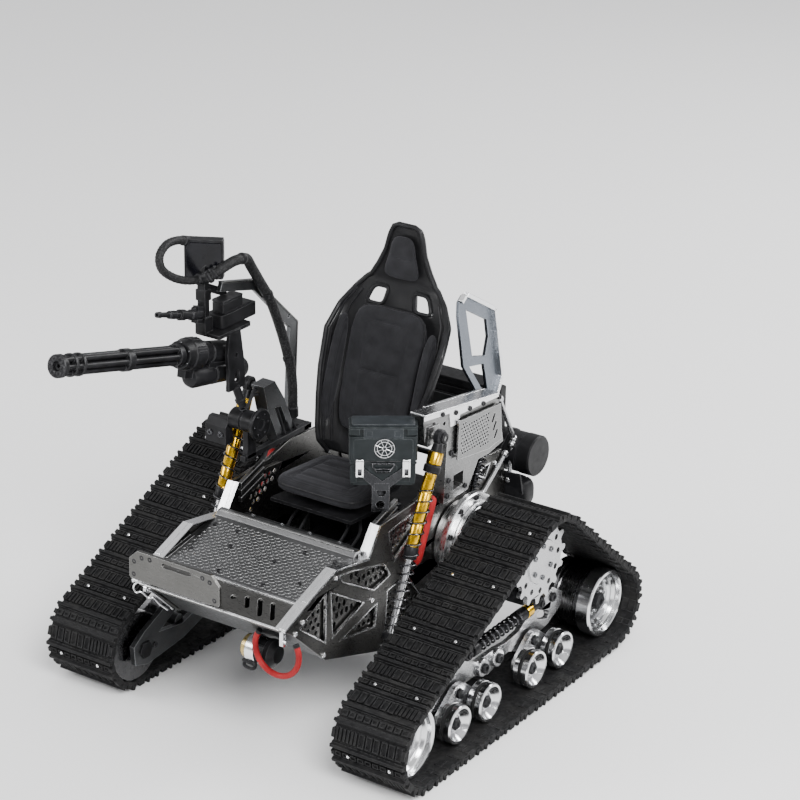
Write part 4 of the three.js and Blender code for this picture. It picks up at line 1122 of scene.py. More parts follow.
def winch():
    """The winch's motor with its brass head and sleeve, the hook at its end, and the red tow strap."""
    low, high = extent("winch_motor")
    start, middle = Vector((low.x, (low.y + high.y) / 2, (low.z + high.z) / 2)), (low + high) / 2
    back = high.x - low.x
    head, sleeve, body, hook = Form(), Form(), Form(), Form()
    head.lathe([(0, 0), (0, 5.6), (0.6, 6.3), (3, 6.3), (3.4, 5.8), (3.4, 0)], start, sides=30)
    sleeve.lathe([(3.3, 0), (3.3, 7.2), (3.8, 7.6), (8.6, 7.6), (9, 7.2), (9, 0)], start, sides=36)
    body.lathe([(8.9, 0), (8.9, 5.8), (back - 6, 5.8), (back - 5.7, 7), (back - 5.2, 7.5), (back - 2.6, 7.5),
                (back - 2.2, 7), (back - 1, 5.6), (back, 4.6), (back, 0)], start, sides=36)
    for spot in ring_spots(4, 6.4, middle.yz, math.pi / 4):
        body.rod((low.x + 8, *spot), (high.x - 3, *spot), 0.7, 8)
    hook_line = [(2, -4, -5.4), (3, -6.2, -8.2), (7, -6.4, -9), (9.6, -6.2, -7.6), (9, -5, -5)]
    hook.tube(smooth_path([start + Vector(p) for p in hook_line], 26), 0.95, 10)
    hook.rod(start + Vector((1, -5, -6.2)), start + Vector((10, -5.4, -6.6)), 1, 10)
    make("winch_motor", body, BLACK_METAL, "root", "black_metal", "winch_motor", sharp=30)
    make("winch_head", head, BRASS, "root", "black_metal", bevel=0.15)
    make("winch_sleeve", sleeve, BRIGHT, "root", "polished", sharp=30)
    make("winch_hook", hook, BLACK_METAL, "root", "black_metal")
    low, high = extent("tow_strap")
    bend = 13.6
    middle = Vector((low.x + bend + 1.6, (low.y + high.y) / 2, low.z + bend + 1.6))
    turns = [math.radians(145 + 243 * i / 48) for i in range(49)]
    path = [middle + Vector((math.cos(a), 0, math.sin(a))) * bend for a in turns]
    strap, seams = Form().tube(path, 1.56, 14), Form()
    for at, toward in ((path[0], path[1] - path[0]), (path[-1], path[-1] - path[-2])):
        seams.lathe([(-0.9, 0), (-0.9, 1.6), (0.9, 1.6), (0.9, 0)], at, toward, 14)
    make("tow_strap", strap, RED, "root", "red_webbing", "tow_strap")
    make("tow_strap_ends", seams, BLACK_METAL, "root", "black_metal")


# ---------- the bucket seat ----------
SEAT = Matrix.Translation((0, 37.5, 112)) @ Matrix.Rotation(math.radians(-18), 4, "X")
NECK = 98
HEAD = SEAT @ Matrix.Translation((0, 0, NECK)) @ Matrix.Rotation(math.radians(13), 4, "X")
BACK_WIDTHS = [(0, 27), (20, 31), (45, 36), (66, 38), (80, 36), (91, 29.5), (99.4, 22)]
HEAD_WIDTHS = [(0, 22), (8, 17), (16, 13), (25, 10.8), (30, 8.5), (31.4, 5)]
WING_DEPTHS = [(0, 2), (6, 11), (14, 12.8), (30, 12.8), (66, 9.8), (80, 4), (90, 1), (99.4, 0)]


def along(table, place):
    """The value at a place in a table of (place, value) pairs, eased between them."""
    for (a, va), (b, vb) in zip(table, table[1:]):
        if place <= b:
            share = max(0.0, min(1.0, (place - a) / (b - a)))
            return va + (vb - va) * share
    return table[-1][1]


def shell_point(side, height):
    """A point on the moulded shell's front face: side runs from -1 to 1 across it."""
    if height <= NECK:
        width, depth, frame_at, level = along(BACK_WIDTHS, height), along(WING_DEPTHS, height), SEAT, height
    else:
        level = height - NECK
        width, depth, frame_at = along(HEAD_WIDTHS, level), 0.0, HEAD
    bend = max(0.0, (abs(side) - 0.55) / 0.45)
    across = width * side * (1 - 0.04 * bend ** 3)
    return frame_at @ Vector((across, 0.6 - depth * bend ** 1.8, level))


def seat_shell():
    """The moulded shell with its two harness slots, its rolled rim, and the ribs and lines on it."""
    sides, heights = 44, 84
    top = NECK + 31.2
    points, faces = [], []
    for j in range(heights + 1):
        points += [shell_point(2 * i / sides - 1, top * j / heights) for i in range(sides + 1)]
    for j in range(heights):
        for i in range(sides):
            across, height = abs(2 * (i + 0.5) / sides - 1), top * (j + 0.5) / heights
            in_slot = 0.30 < across < 0.62 and 84.5 < height < 93.5
            a = j * (sides + 1) + i
            if not in_slot:
                faces.append([a, a + 1, a + sides + 2, a + sides + 1])
    form = Form().add(points, faces)
    shell = make("seat_shell", form, SHELL, "root", "black_plastic", "seat_shell", sharp=50)
    thick = shell.modifiers.new("thickness", "SOLIDIFY")
    thick.thickness = 3.2 * MM
    thick.offset = 1.0 if shell.data.polygons[0].normal.y > 0 else -1.0
    smooth = shell.modifiers.new("smooth", "SUBSURF")
    smooth.levels = smooth.render_levels = 1
    trim = Form()
    rows = [top * j / 90 for j in range(91)]
    rim = [shell_point(1, h) for h in rows] + [shell_point(-1, h) for h in reversed(rows)]
    trim.tube(rim, 1.35, 10)
    for share in (0.93, 0.82):
        for hand in (-1, 1):
            trim.tube([shell_point(hand * share, 6 + 84 * j / 60) for j in range(61)], 0.75, 8)
    for hand in (-1, 1):
        loop = []
        for u, v in ring_spots(40, 1):
            side = 0.46 + 0.165 * math.copysign(abs(u) ** 0.5, u)
            loop.append(shell_point(hand * side, 89 + 5 * math.copysign(abs(v) ** 0.5, v)))
        trim.tube(loop, 1.1, 8, wrap=True)
    for k in range(7):
        height = 12 + 9 * k
        trim.tube([shell_point(-0.5 + j / 20, height) + Vector((0, 4.2, -1.2)) for j in range(21)], 0.9, 8)
    make("seat_trim", trim, BLACK_PLASTIC, "root", "black_plastic")


def pillow(half, warp, plan, crown, sew):
    """A stuffed closed form: a soft-cornered plan, crowned on both faces, with sewn lines pressed in."""
    rings = 22
    shares = [1 - (1 - k / rings) ** 1.7 for k in range(1, rings)]
    rows = []
    for sign, order in ((1, [0, *shares]), (-1, [1, *reversed(shares), 0])):
        for share in order:
            level = (1 - share ** crown) ** (1 / crown)
            row = []
            for u, v in around(plan, 72) if share else [(0, 0)]:
                a, b, c = u * share * half[0], v * share * half[1], sign * level * half[2]
                if sign > 0:
                    c -= sew(a, b) * level
                row.append(warp(Vector((a, b, c))))
            rows.append(row)
    return Form().skin(rows)


def grooves(places, depth, width=0.7):
    """How deep parallel sewn lines press at a value, for a function of that value."""
    return lambda value: sum(depth * math.exp(-((value - place) / width) ** 2) for place in places)


def pads():
    """The cloth-covered pads, each in the space of its own solid in the frame."""
    across, up_lines = grooves((-27, -13.5, 0, 13.5, 27), 1.3, 0.9), grooves((-13, 13), 1.1, 0.8)

    def on_back(p):
        width = 0.66 + 0.34 * along(BACK_WIDTHS, 49 + p.y) / 36
        wrinkle = 0.25 * math.sin(p.x * 0.45 + p.y * 0.2) * math.sin(p.y * 0.31) if p.z > 1 else 0
        return SEAT @ Vector((p.x * width, wrinkle - 3.9 - p.z, 49 + p.y))

    back = pillow((22.8, 34.5, 4), on_back, plan=6, crown=4,
                  sew=lambda a, b: max(across(b) if abs(a) < 13 else 0, up_lines(a)))
    dress("seat_back_pad", back, "seat_back_pad")

    def on_cushion(p):
        tilt = 0.11 * (12 - p.y)
        return Vector((p.x, 12.0 + p.y, 108.6 + p.z + tilt * 0.7))
    seat_lines, side_lines = grooves((-15, -5, 5, 15), 1.0, 0.9), grooves((-17, 17), 1.2, 0.8)
    cushion = pillow((26.6, 25.4, 5.6), on_cushion, plan=7, crown=3.6,
                     sew=lambda a, b: max(seat_lines(b) if abs(a) < 17 else 0, side_lines(a)))
    dress("seat_cushion", cushion, "seat_cushion")
    for hand, name in ((1, "left"), (-1, "right")):
        def on_side(p, hand=hand):
            bow = 0.8 * math.sin((p.y + 31) / 62 * math.pi)
            return SEAT @ Vector((hand * (28.4 + p.x), -6.2 - p.z - bow, 45 + p.y))
        bolster = pillow((3.1, 30.5, 4.9), on_side, plan=3, crown=2.4,
                         sew=lambda a, b: grooves((-15, 0, 15), 0.5)(b))
        dress(f"seat_bolster_{name}", bolster, f"seat_bolster_{name}")

    def on_head(p):
        width = along(HEAD_WIDTHS, 14 + p.y) / 17
        return HEAD @ Vector((p.x * width, -2.0 - p.z * 0.7, 14 + p.y))
    head = pillow((10.5, 11.5, 3.0), on_head, plan=4, crown=3, sew=lambda a, b: grooves((0,), 0.6, 0.6)(b))
    dress("seat_head_pad", head)
    piping = Form()
    for warp, plan, half, level, wire in ((on_back, 6, (22.9, 34.6), 0.4, 0.5),
                                          (on_cushion, 7, (26.4, 25.2), 0.5, 0.55)):
        loop = [warp(Vector((half[0] * u, half[1] * v, level))) for u, v in around(plan, 120)]
        piping.tube(loop, wire, 8, wrap=True)
    make("seat_piping", piping, BLACK_PLASTIC, "root", "black_plastic")


def dress(name, form, node=()):
    """A pad in its cloth."""
    make(name, form, FABRIC, "root", "seat_fabric", node, sharp=70)


# ---------- the box in front of the seat ----------
AMMO_WIDTH, AMMO_DEPTH = 33.5, 12.5
AMMO_LOW, AMMO_SPLIT, AMMO_HIGH = 127.4, 141, 161  # heights of the foot, the lid's lower edge and the top
AMMO_PLACE = Matrix.Translation((29.7, -21.4, 0)) @ Matrix.Rotation(math.radians(36.5), 4, "Z")


def ammo_box():
    """The box's body, its lid in two shades, and what is mounted on them."""
    w, d, low, split, high = AMMO_WIDTH, AMMO_DEPTH, AMMO_LOW, AMMO_SPLIT, AMMO_HIGH
    body, lid, top, seal = (Form(AMMO_PLACE) for _ in range(4))
    outer = rounded((0, 0), (w, d), 1.8)
    body.plate("z", outer, low + 2, split, [shrunk(outer, 1.6)])
    body.plate("z", shrunk(outer, 0.4), low, low + 2)
    body.plate("y", rounded((-0.5, split - 1.6), (w + 0.5, split - 0.1), 0.6), -0.55, -0.05)
    body.plate("y", rounded((9.6, low + 1.2), (w - 9.6, split - 2.4), 1.2), -0.35, 0.1)
    for x in (0.2, w - 3.2):
        body.plate("y", rounded((x, low + 1.4), (x + 3, split - 2.4), 0.8), -0.45, 0.1)
    lid.plate("z", rounded((-0.8, -0.8), (w + 0.8, d + 0.8), 1.9), split + 0.3, high - 6.4)
    lid.plate("z", rounded((0.4, 0.2), (w - 0.4, d + 0.4), 1.9), high - 6.5, high - 2.4)
    lid.plate("z", rounded((-0.8, -0.8), (w + 0.8, d + 0.8), 1.9), high - 2.5, high - 1)
    lid.plate("y", rounded((1.6, split + 1.2), (w - 1.6, high - 7.6), 1.4), -1.0, -0.7)
    for x in (-0.6, w - 4.6):
        lid.box((x, x + 5.2), (-0.9, 2.6), (high - 5.4, high - 2.2))
    top.plate("z", rounded((0.6, 0.4), (w - 0.6, d - 0.4), 1.4), high - 1.1, high)
    clasp = [(-0.95, high - 7.2), (-0.95, high - 1.8), (0.6, high - 1), (0.6, high - 7.2)]
    top.plate("x", clasp, 6.6, w - 6.6)
    for x in (8, w - 11):
        top.box((x, x + 3), (-1, -0.8), (high - 6.2, high - 3))
    seal.rod((6, -0.6, split - 0.1), (w - 8, -0.6, split - 0.1), 0.28, 8, 0.05)
    make("ammo_box", body, GREEN_GREY, "root", "green_grey", "ammo_box", bevel=0.35)
    make("ammo_lid", lid, GREEN_GREY, "ammo_lid", "green_grey", "ammo_lid", bevel=0.3)
    make("ammo_lid_top", top, LID_GREY, "ammo_lid", "green_grey", bevel=0.25)
    make("ammo_seal", seal, BLACK_METAL, "root", "green_grey")
    ammo_emblem()
    ammo_latches()
    ammo_legs()


def ammo_emblem():
    """A plain ring with eight spokes pressed on the lid's front face."""
    mark = Form(AMMO_PLACE)
    middle, face, outer = (AMMO_WIDTH / 2 + 0.6, 148.2), -1, 5.1
    for reach in (outer, 3.7, 1):
        mark.tube([(x, face, z) for x, z in ring_spots(40, reach, middle)], 0.2, 6, wrap=True)
    spokes = (ring_spots(8, reach, middle, math.pi / 8) for reach in (1, outer))
    for (x0, z0), (x1, z1) in zip(*spokes):
        mark.rod((x0, face, z0), (x1, face, z1), 0.17, 6, 0.05)
    make("ammo_emblem", mark, ALUMINIUM, "ammo_lid", "green_grey")


def ammo_latches():
    """The two latches on the box's front and the fixed clasp between them."""
    w, split = AMMO_WIDTH, AMMO_SPLIT
    low, high = split - 8.4, split + 1.6
    for number, x in enumerate((4.8, w - 4.8), 1):
        latch = Form(AMMO_PLACE)
        side = [(-2.6, low + 0.3), (-1.5, low), (-1.4, high), (-2.2, high), (-2.8, high - 2.2),
                (-2.3, low + 4)]
        for start in (x - 2, x + 1):
            latch.plate("x", side, start, start + 1)
        latch.plate("y", rounded((x - 1.6, low + 4.4), (x + 1.6, high - 1.4), 0.6), -1.7, -1.4)
        latch.rod((x - 2, -2, high - 0.7), (x + 2, -2, high - 0.7), 0.6, 10)
        latch.rod((x - 2, -2.1, low + 0.7), (x + 2, -2.1, low + 0.7), 0.55, 10)
        name = f"ammo_latch_{number}"
        make(name, latch, BRIGHT, name, "polished", name, bevel=0.15)
    clasp = Form(AMMO_PLACE)
    middle = w / 2
    clasp.rod((middle - 6.2, -1.0, split - 1.2), (middle + 6.2, -1.0, split - 1.2), 0.45, 8)
    half_bail = ((5.6, -1.2, split - 1.2), (5.2, -1.4, split - 3), (3.4, -1.6, split - 5.4))
    bail = [(middle - x, y, z) for x, y, z in half_bail]
    bail += [(middle + x, y, z) for x, y, z in reversed(half_bail)]
    for start, end in zip(bail, bail[1:]):
        clasp.rod(start, end, 0.4, 10, 0.1)
    clasp.rod((middle - 4.4, -1.5, split - 3.9), (middle + 4.4, -1.5, split - 3.9), 0.32, 8, 0.1)
    make("ammo_clasp", clasp, SPRING, "root", "polished")


def ammo_legs():
    """The yoke and the perforated bracket that carry the box above the deck."""
    legs = Form(AMMO_PLACE)
    column = [(11.4, 128.6), (20.6, 128.6), (20.2, 111.6), (11.2, 111.6)]
    openings = [disc((16.2, 122.6), 2.4, 18), disc((15.7, 115.6), 2.2, 18)]
    legs.plate("y", column, 1.8, 3.2, openings)
    legs.plate("y", column, 8.4, 9.8, openings)
    for x in (11.2, 19.2):
        legs.plate("x", [(2, 128.2), (9.8, 128.2), (8, 111.5), (4, 111.5)], x, x + 1.3)
    yoke = [(3.4, 137), (6.6, 137.4), (16.4, 130), (26.6, 137.4), (30, 137), (30, 134.6), (20.4, 126.6),
            (19.8, 124.6), (12.2, 124.6), (12, 126.6), (3.4, 134.6)]
    legs.plate("y", yoke, -0.95, -0.2)
    legs.plate("y", [(12.4, 128.8), (20, 128.8), (20, 124.6), (12.4, 124.6)], -0.9, 2)
    for x in (5.2, 28.2):
        legs.bolt((x, -0.9, 135.8), (0, -1, 0), 0.8, 0.4)
    make("ammo_bracket", legs, SPRING, "root", "gunmetal", bevel=0.25)


# ---------- behind the seat ----------
UPPER_IN, UPPER_OUT = extent("upper_side_plate_left")[0].x, 55.8
UPPER_PLATE = [
    (6, 163.3), (77, 152.8), (84.5, 122.2), (71, 119.8), (60, 120), (50, 106), (27, 106), (29.4, 146),
    (8, 145.5),
]


def upper_plates():
    """The left side plate with its rail and perforated panel, and the right damper bracket."""
    plate, rail, panel, screws, backing = Form(), Form(), Form(), Form(), Form()
    holes = [[(36, 119), (45.6, 119), (45.6, 111), (36, 110.4)], disc((16, 154.6), 1.6), disc((26, 152), 1.2)]
    plate.plate("x", UPPER_PLATE, UPPER_IN + 0.3, UPPER_OUT - 0.2, holes)
    rail.plate("x", [(6, 163.5), (77, 153), (77.8, 150.2), (40, 152.6), (38.6, 148), (31, 148.4),
                     (29.8, 156.5), (6, 159.8)], UPPER_OUT - 0.4, UPPER_OUT + 0.6)
    rail.plate("x", [(6, 163.6), (77, 153.1), (76.9, 152), (5.9, 162.5)], UPPER_IN, UPPER_OUT + 1.3)
    rail.plate("x", [(20, 161.5), (77, 153.1), (76.9, 152), (19.9, 160.4)], UPPER_IN - 1.8, UPPER_IN + 0.2)
    dots = [(36.8, 150.2), (77.2, 147), (79.5, 126), (66, 124.4), (35.8, 128.6)]
    field = [(38.2, 148.6), (66.4, 146.2), (67, 126.6), (38, 130)]
    slots = [disc((y, z), 0.9, 12, 1.9, -0.55) for y, z in ((70.2, 141), (71.6, 136), (73, 131))]
    slots += perforation(field, 2.35, 0.74, 0.2, sides=8)
    panel.plate("x", dots, UPPER_OUT + 1.2, UPPER_OUT + 2.2, slots)
    for y, z in ((38.4, 149), (76, 145.8), (77.8, 127.6), (37.6, 130.4)):
        panel.rod((UPPER_OUT - 0.4, y, z), (UPPER_OUT + 1.3, y, z), 1.1, 12)
    screws.bolts(UPPER_OUT + 0.5, ((35.6, 155.2), (48.9, 153.2), (62.1, 151.5), (23, 158.4)), 1.35, 0.9)
    screws.bolts(UPPER_OUT - 0.3, ((79, 149.6), (33, 133), (31, 118), (47, 109.5), (30, 109.5)), 1.5, 1.1)
    hold_plate(plate, screws, ((36, 110), (44, 110)))
    plate.plate("x", [(7.6, 145.6), (18.6, 145.4), (18.4, 155), (8.6, 156)], UPPER_OUT - 0.4, UPPER_OUT + 1.8)
    backing.plate("x", shrunk(dots, 0.8), UPPER_OUT + 0.75, UPPER_OUT + 1.1)
    make("upper_panel_backing", backing, BLACK_METAL, "root", "aluminium")
    make("upper_side_plate_left", plate, STEEL, "root", "aluminium", "upper_side_plate_left", bevel=0.3)
    make("upper_rail", rail, BRIGHT, "root", "aluminium", bevel=0.3)
    make("upper_panel", panel, STEEL, "root", "aluminium")
    make("upper_screws", screws, BLACK_METAL, "root", "black_metal")
    bracket, bolts = Form(), Form()
    outline = [(8, 153), (18, 153.5), (27, 140), (38, 114.5), (51, 113.5), (51, 105.5), (27, 105.5),
               (12, 138)]
    windows = [[(17.6, 138), (23.4, 137), (33, 116), (29, 112)], disc((45, 109.6), 1.4)]
    bracket.plate("x", outline, UPPER_IN, UPPER_OUT, windows)
    hold_plate(bracket, bolts, ((32, 109), (45, 109)))
    bolts.bolt((UPPER_OUT - 0.2, 33, 109.4), "x", 1.5, 1)
    make("shock_bracket_right", bracket.mirrored(), GUNMETAL, "root", "aluminium", "shock_bracket_right",
         bevel=0.3)
    make("shock_bracket_screws", bolts.mirrored(), BLACK_METAL, "root", "black_metal")


def hold_plate(plate, bolts, spacers):
    """The bars between a plate and the tub, and the damper's pin through its eye."""
    for spot in spacers:
        plate.rod((TUB_OUT, *spot), (UPPER_IN + 1, *spot), 2.5, 14)
    plate.rod((UPPER_IN + 0.4, *SHOCK_TOP), (SHOCK_X + 3.4, *SHOCK_TOP), 1.95, 14)
    bolts.bolt((SHOCK_X + 2.4, *SHOCK_TOP), "x", 2.9, 1.4)


def rear_frame():
    """The tall brace, the cross plate behind the seat, the tie rods and the short rear dampers."""
    brace, lip, cross, ties, pack = Form(), Form(), Form(), Form(), Form()
    outline = [(58, 206), (62, 209), (90, 193), (93, 180), (99, 152), (92, 138), (86, 138), (64, 168),
               (58, 198)]
    holes = [[(65, 200), (85.4, 188.4), (87.6, 178), (85, 168), (72.4, 171.6)],
             [(70, 166.4), (84, 163.6), (88.6, 146.6), (87.4, 144)]]
    brace.plate("x", outline, 40.2, 42.3, holes)
    edge = [(58.4, 205.8), (62.2, 208.7), (89.7, 192.8), (92.7, 180), (98.6, 152.4), (91.8, 138.6)]
    lip.edging(edge, 2.4, 42, 44.8)
    cross.plate("y", rounded((-DECK_HALF, 113), (DECK_HALF, 138.5), 2), 88.2, 90.8,
                [rounded((-36, 119), (-10, 132), 2), rounded((12, 119), (36, 132), 2)])
    for x in (-40, -5, 5, 40):
        cross.bolt((x, 90.6, 135), "y", 1.3, 0.9)
    cross.rod((-42, 60, 116), (42, 60, 116), 1.6, 12)
    for start, end in (((50, 88.9, 143.5), (50, 104.9, 114.6)), ((50, 96, 108.8), (50, 73.7, 93.1)),
                       ((50, 103, 112.3), (50, 101, 92))):
        ties.rod(start, end, 1.25, 14)
        for spot in (start, end):
            ties.lathe([(-1.7, 0), (-1.7, 1.2), (-1.2, 1.9), (-0.5, 2.3), (0.5, 2.3), (1.2, 1.9), (1.7, 1.2),
                        (1.7, 0)], spot, "x", 18)
    coil(pack, (49, 62, 90), (49, 74, 118), 9, 3.6, 0.6)
    pack.rod((49, 61, 88), (49, 74.6, 119.4), 1.6, 12)
    make("rear_frame", brace, BLUE_GREY, "root", "aluminium", "rear_frame", bevel=0.4)
    make("rear_brace_lip", lip, BRIGHT, "root", "aluminium", bevel=0.3)
    make("rear_cross_plate", cross, GUNMETAL, "root", "aluminium", bevel=0.3)
    make_pair("tie_rods", ties, ALUMINIUM, "root", "polished")
    make_pair("rear_dampers", pack, SPRING, "root", "spring_steel")


def rear_wall():
    """The tub's sloping rear wall: a framed, perforated panel with ribs, screws and a tow eye."""
    foot, crest = Vector((0, 95.3, 43.4)), Vector((0, 102.3, 77))
    tall, up, out, place = slope(foot, crest)
    panel, ribs, screws, eyes = Form(place), Form(place), Form(), Form()
    fields = [rounded((x, 5), (x + 22, tall - 6), 2) for x in (-37, -11, 15)]
    openings = [hole for field in fields for hole in perforation(field, 4.4, 1.35, 0.6)]
    panel.plate("z", rounded((-42, 1), (42, tall - 1), 2), 0.3, 1.3, openings)
    for x in (-13, 13):
        ribs.plate("z", [(x - 1.2, 3), (x + 1.2, 3), (x + 1.2, tall - 3), (x - 1.2, tall - 3)], 1.2, 2.6)
    for level in (2.4, tall - 3.6):
        ribs.plate("z", [(-40, level), (40, level), (40, level + 1.4), (-40, level + 1.4)], 1.2, 2.0)
    for x in (-39.5, -20, 20, 39.5):
        for share in (0.14, 0.86):
            screws.bolt(foot.lerp(crest, share) + out * 1.2 + Vector((x, 0, 0)), out, 1.3, 0.9)
    for x in (-30, 30):
        spot = foot + up * 6 + out * 2.6 + Vector((x, 0, 0))
        eyes.band(spot, "x", 1.1, 1.6, 3.2)
        eyes.rod(spot - out * 2.4, spot - out * 1.6, 2.4, 14)
    make("rear_panel", panel, SATIN, "root", "gunmetal")
    make("rear_ribs", ribs, GUNMETAL, "root", "gunmetal", bevel=0.25)
    make("rear_screws", screws, BRIGHT, "root", "polished")
    make("rear_tow_eyes", eyes, RED, "root", "red_webbing")


def rear_boxes():
    """The round canister in its straps, the finned electronics box, and the pouch on its hanger."""
    low, high = extent("rear_canister")
    y, z, r = (low.y + high.y) / 2, (low.z + high.z) / 2, (high.z - low.z) / 2
    length = high.x - low.x
    can, straps = Form(), Form()
    can.lathe([(0, 0), (0, r - 1.2), (0.6, r - 0.3), (6, r - 0.3), (6.3, r - 0.8), (7, r - 0.8),
               (7.3, r - 0.3), (length - 9.3, r - 0.3), (length - 9, r - 0.8), (length - 8.4, r - 0.8),
               (length - 8.1, r), (length - 0.7, r), (length, r - 0.7), (length, 0)], (low.x, y, z), sides=56)
    can.rod((low.x - 2, y, z), (low.x, y, z), 4, 20, 0.5)
    for x in (24, 42):
        straps.band((x + 1.5, y, z), "x", 1.5, r - 0.5, r + 0.3, 40)
        straps.plate("x", [(y - 14, z + 4), (y - 8, z + 8), (y - 8, z - 8), (y - 14, z - 4)], x, x + 3)
    make("rear_canister", can, BLACK_PLASTIC, "root", "black_metal", "rear_canister", sharp=30)
    make("canister_straps", straps, BLACK_METAL, "root", "black_metal", bevel=0.2)
    low, high = extent("electronics_box")
    box, fins = Form(), Form()
    box.plate("z", rounded((low.x, low.y), (high.x, high.y), 2.2), low.z, high.z - 5)
    box.plate("z", rounded((low.x + 0.3, low.y + 0.3), (high.x - 0.3, high.y - 0.3), 2), high.z - 4.6, high.z)
    for i in range(11):
        x = low.x + 5 + i * 5
        fins.plate("x", [(high.y - 0.6, low.z + 3), (high.y - 0.05, low.z + 3.4), (high.y - 0.05, high.z - 8),
                         (high.y - 0.6, high.z - 7.6)], x, x + 1.6)
    for x in (low.x + 4, high.x - 4):
        for y in (low.y + 3.4, high.y - 3.4):
            fins.bolt((x, y, high.z - 0.4), "z", 1.2, 0.38)
    box.plate("x", rounded((98, 118), (103.6, 146), 1.6), 36.2, 45)
    for x in (low.x + 8, high.x - 14):
        fins.plate("x", [(high.y - 0.4, high.z - 8), (high.y, high.z - 7.6), (high.y, high.z - 1.8),
                         (high.y - 0.4, high.z - 1.4)], x, x + 5)
        fins.rod((x + 2.5, low.y + 4, high.z - 1), (x + 2.5, low.y + 4, high.z - 0.05), 2.1, 14)
    make("electronics_box", box, BLACK_PLASTIC, "root", "black_plastic", "electronics_box", bevel=0.5)
    make("electronics_fins", fins, BLACK_METAL, "root", "black_metal", bevel=0.15)
    bag = pillow((10, 7, 9), lambda p: Vector((52 + p.x * 0.9, 106 + p.y, 84 + p.z)), plan=4, crown=3,
                 sew=lambda a, b: grooves((-4, 4), 0.7)(a))
    make("rear_pouch", bag, BLACK_PLASTIC, "root", "black_plastic", sharp=70)
    hanger = Form()
    hanger.plate("y", [(44, 86), (60, 86), (58, 97), (46, 97)], 99.4, 100.6)
    hanger.rod((47, 99.6, 90), (44.4, 96, 96), 1.2, 10)
    make("pouch_hanger", hanger, BLACK_METAL, "root", "black_metal", bevel=0.2)


def inside_tub():
    """What shows of the drive and the battery between the tub's sides."""
    wires, clamps, metal_part = Form(), Form(), Form()
    low, high = extent("battery_pack")
    for y in (low.y + 8, high.y - 10):
        clamps.plate("x", [(y, low.z - 0.4), (y + 6, low.z - 0.4), (y + 6, high.z + 0.8), (y, high.z + 0.8)],
                     low.x - 0.9, high.x + 0.9)
    for i, x in enumerate((-20, -12, 14, 22)):
        route = [(x, -10, 84), (x + 2, -4, 92), (x * 0.8, 6, 93 + i), (x * 0.6, 22, 90)]
        wires.tube(smooth_path(route, 24), 0.9, 8)
    for x in (-25, 25):
        for y in (30, 66):
            metal_part.bolt((x, y, 95.8), "z", 1.6, 1.1)
    metal_part.plate("z", rounded((-34, -30), (34, -26), 1), 95.2, 96.6)
    for x in (-28, -9, 9, 28):
        metal_part.bolt((x, -28, 96.4), "z", 1.4, 1)
    bulkhead = [(-DECK_HALF, 84), (DECK_HALF, 84), (DECK_HALF, 94.4), (-DECK_HALF, 94.4)]
    metal_part.plate("y", bulkhead, -31.4, -30,
                     [rounded((-36, 86), (-6, 92), 1.5), rounded((6, 86), (36, 92), 1.5)])
    make("battery_straps", clamps, BLACK_METAL, "root", "black_metal", bevel=0.2)
    make("tub_wires", wires, BLACK_PLASTIC, "root", "black_plastic")
    make("tub_brackets", metal_part, GUNMETAL, "root", "gunmetal", bevel=0.2)


def keep_nodes():
    """CAD nodes whose shape is right keep it and take a finish and soft edges."""
    for node, finish in (("floor_pan", GUNMETAL), ("gear_case", BLACK_METAL), ("battery_pack", BLACK_PLASTIC),
                         ("seat_base", BLACK_METAL)):
        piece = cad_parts[node]
        piece.data.materials.clear()
        piece.data.materials.append(finish)
        soften(piece, 0.4, 40)


# ---------- the turret on the occupant's right ----------
GUN_X = -62
GUN_PIVOT = Vector((GUN_X, -9.5, 176))
GUN_TIP = Vector((GUN_X, -139.92, 209))
GUN_LINE = (GUN_TIP - GUN_PIVOT).normalized()
GUN_REACH = (GUN_TIP - GUN_PIVOT).length
DRUM = (-6, 138.5)  # the (y, z) place of the turret drum's axis
BREECH = 37.6  # how far the barrels start from the pivot
SCREEN = Matrix.Translation((-65, -19, 230.6)) @ Matrix.Rotation(math.radians(30), 4, "Z")


def on_gun(t, form, profile, sides=36):
    """A part turned about the gun's bore line: distances run forward from the pivot."""
    return form.lathe([(t + d, r) for d, r in profile], GUN_PIVOT, GUN_LINE, sides)


def round_gun(count, reach, start=0.0):
    """Evenly spaced offsets from the gun's bore line."""
    side, up = square_to(GUN_LINE)
    return [side * a + up * b for a, b in ring_spots(count, reach, start=start)]


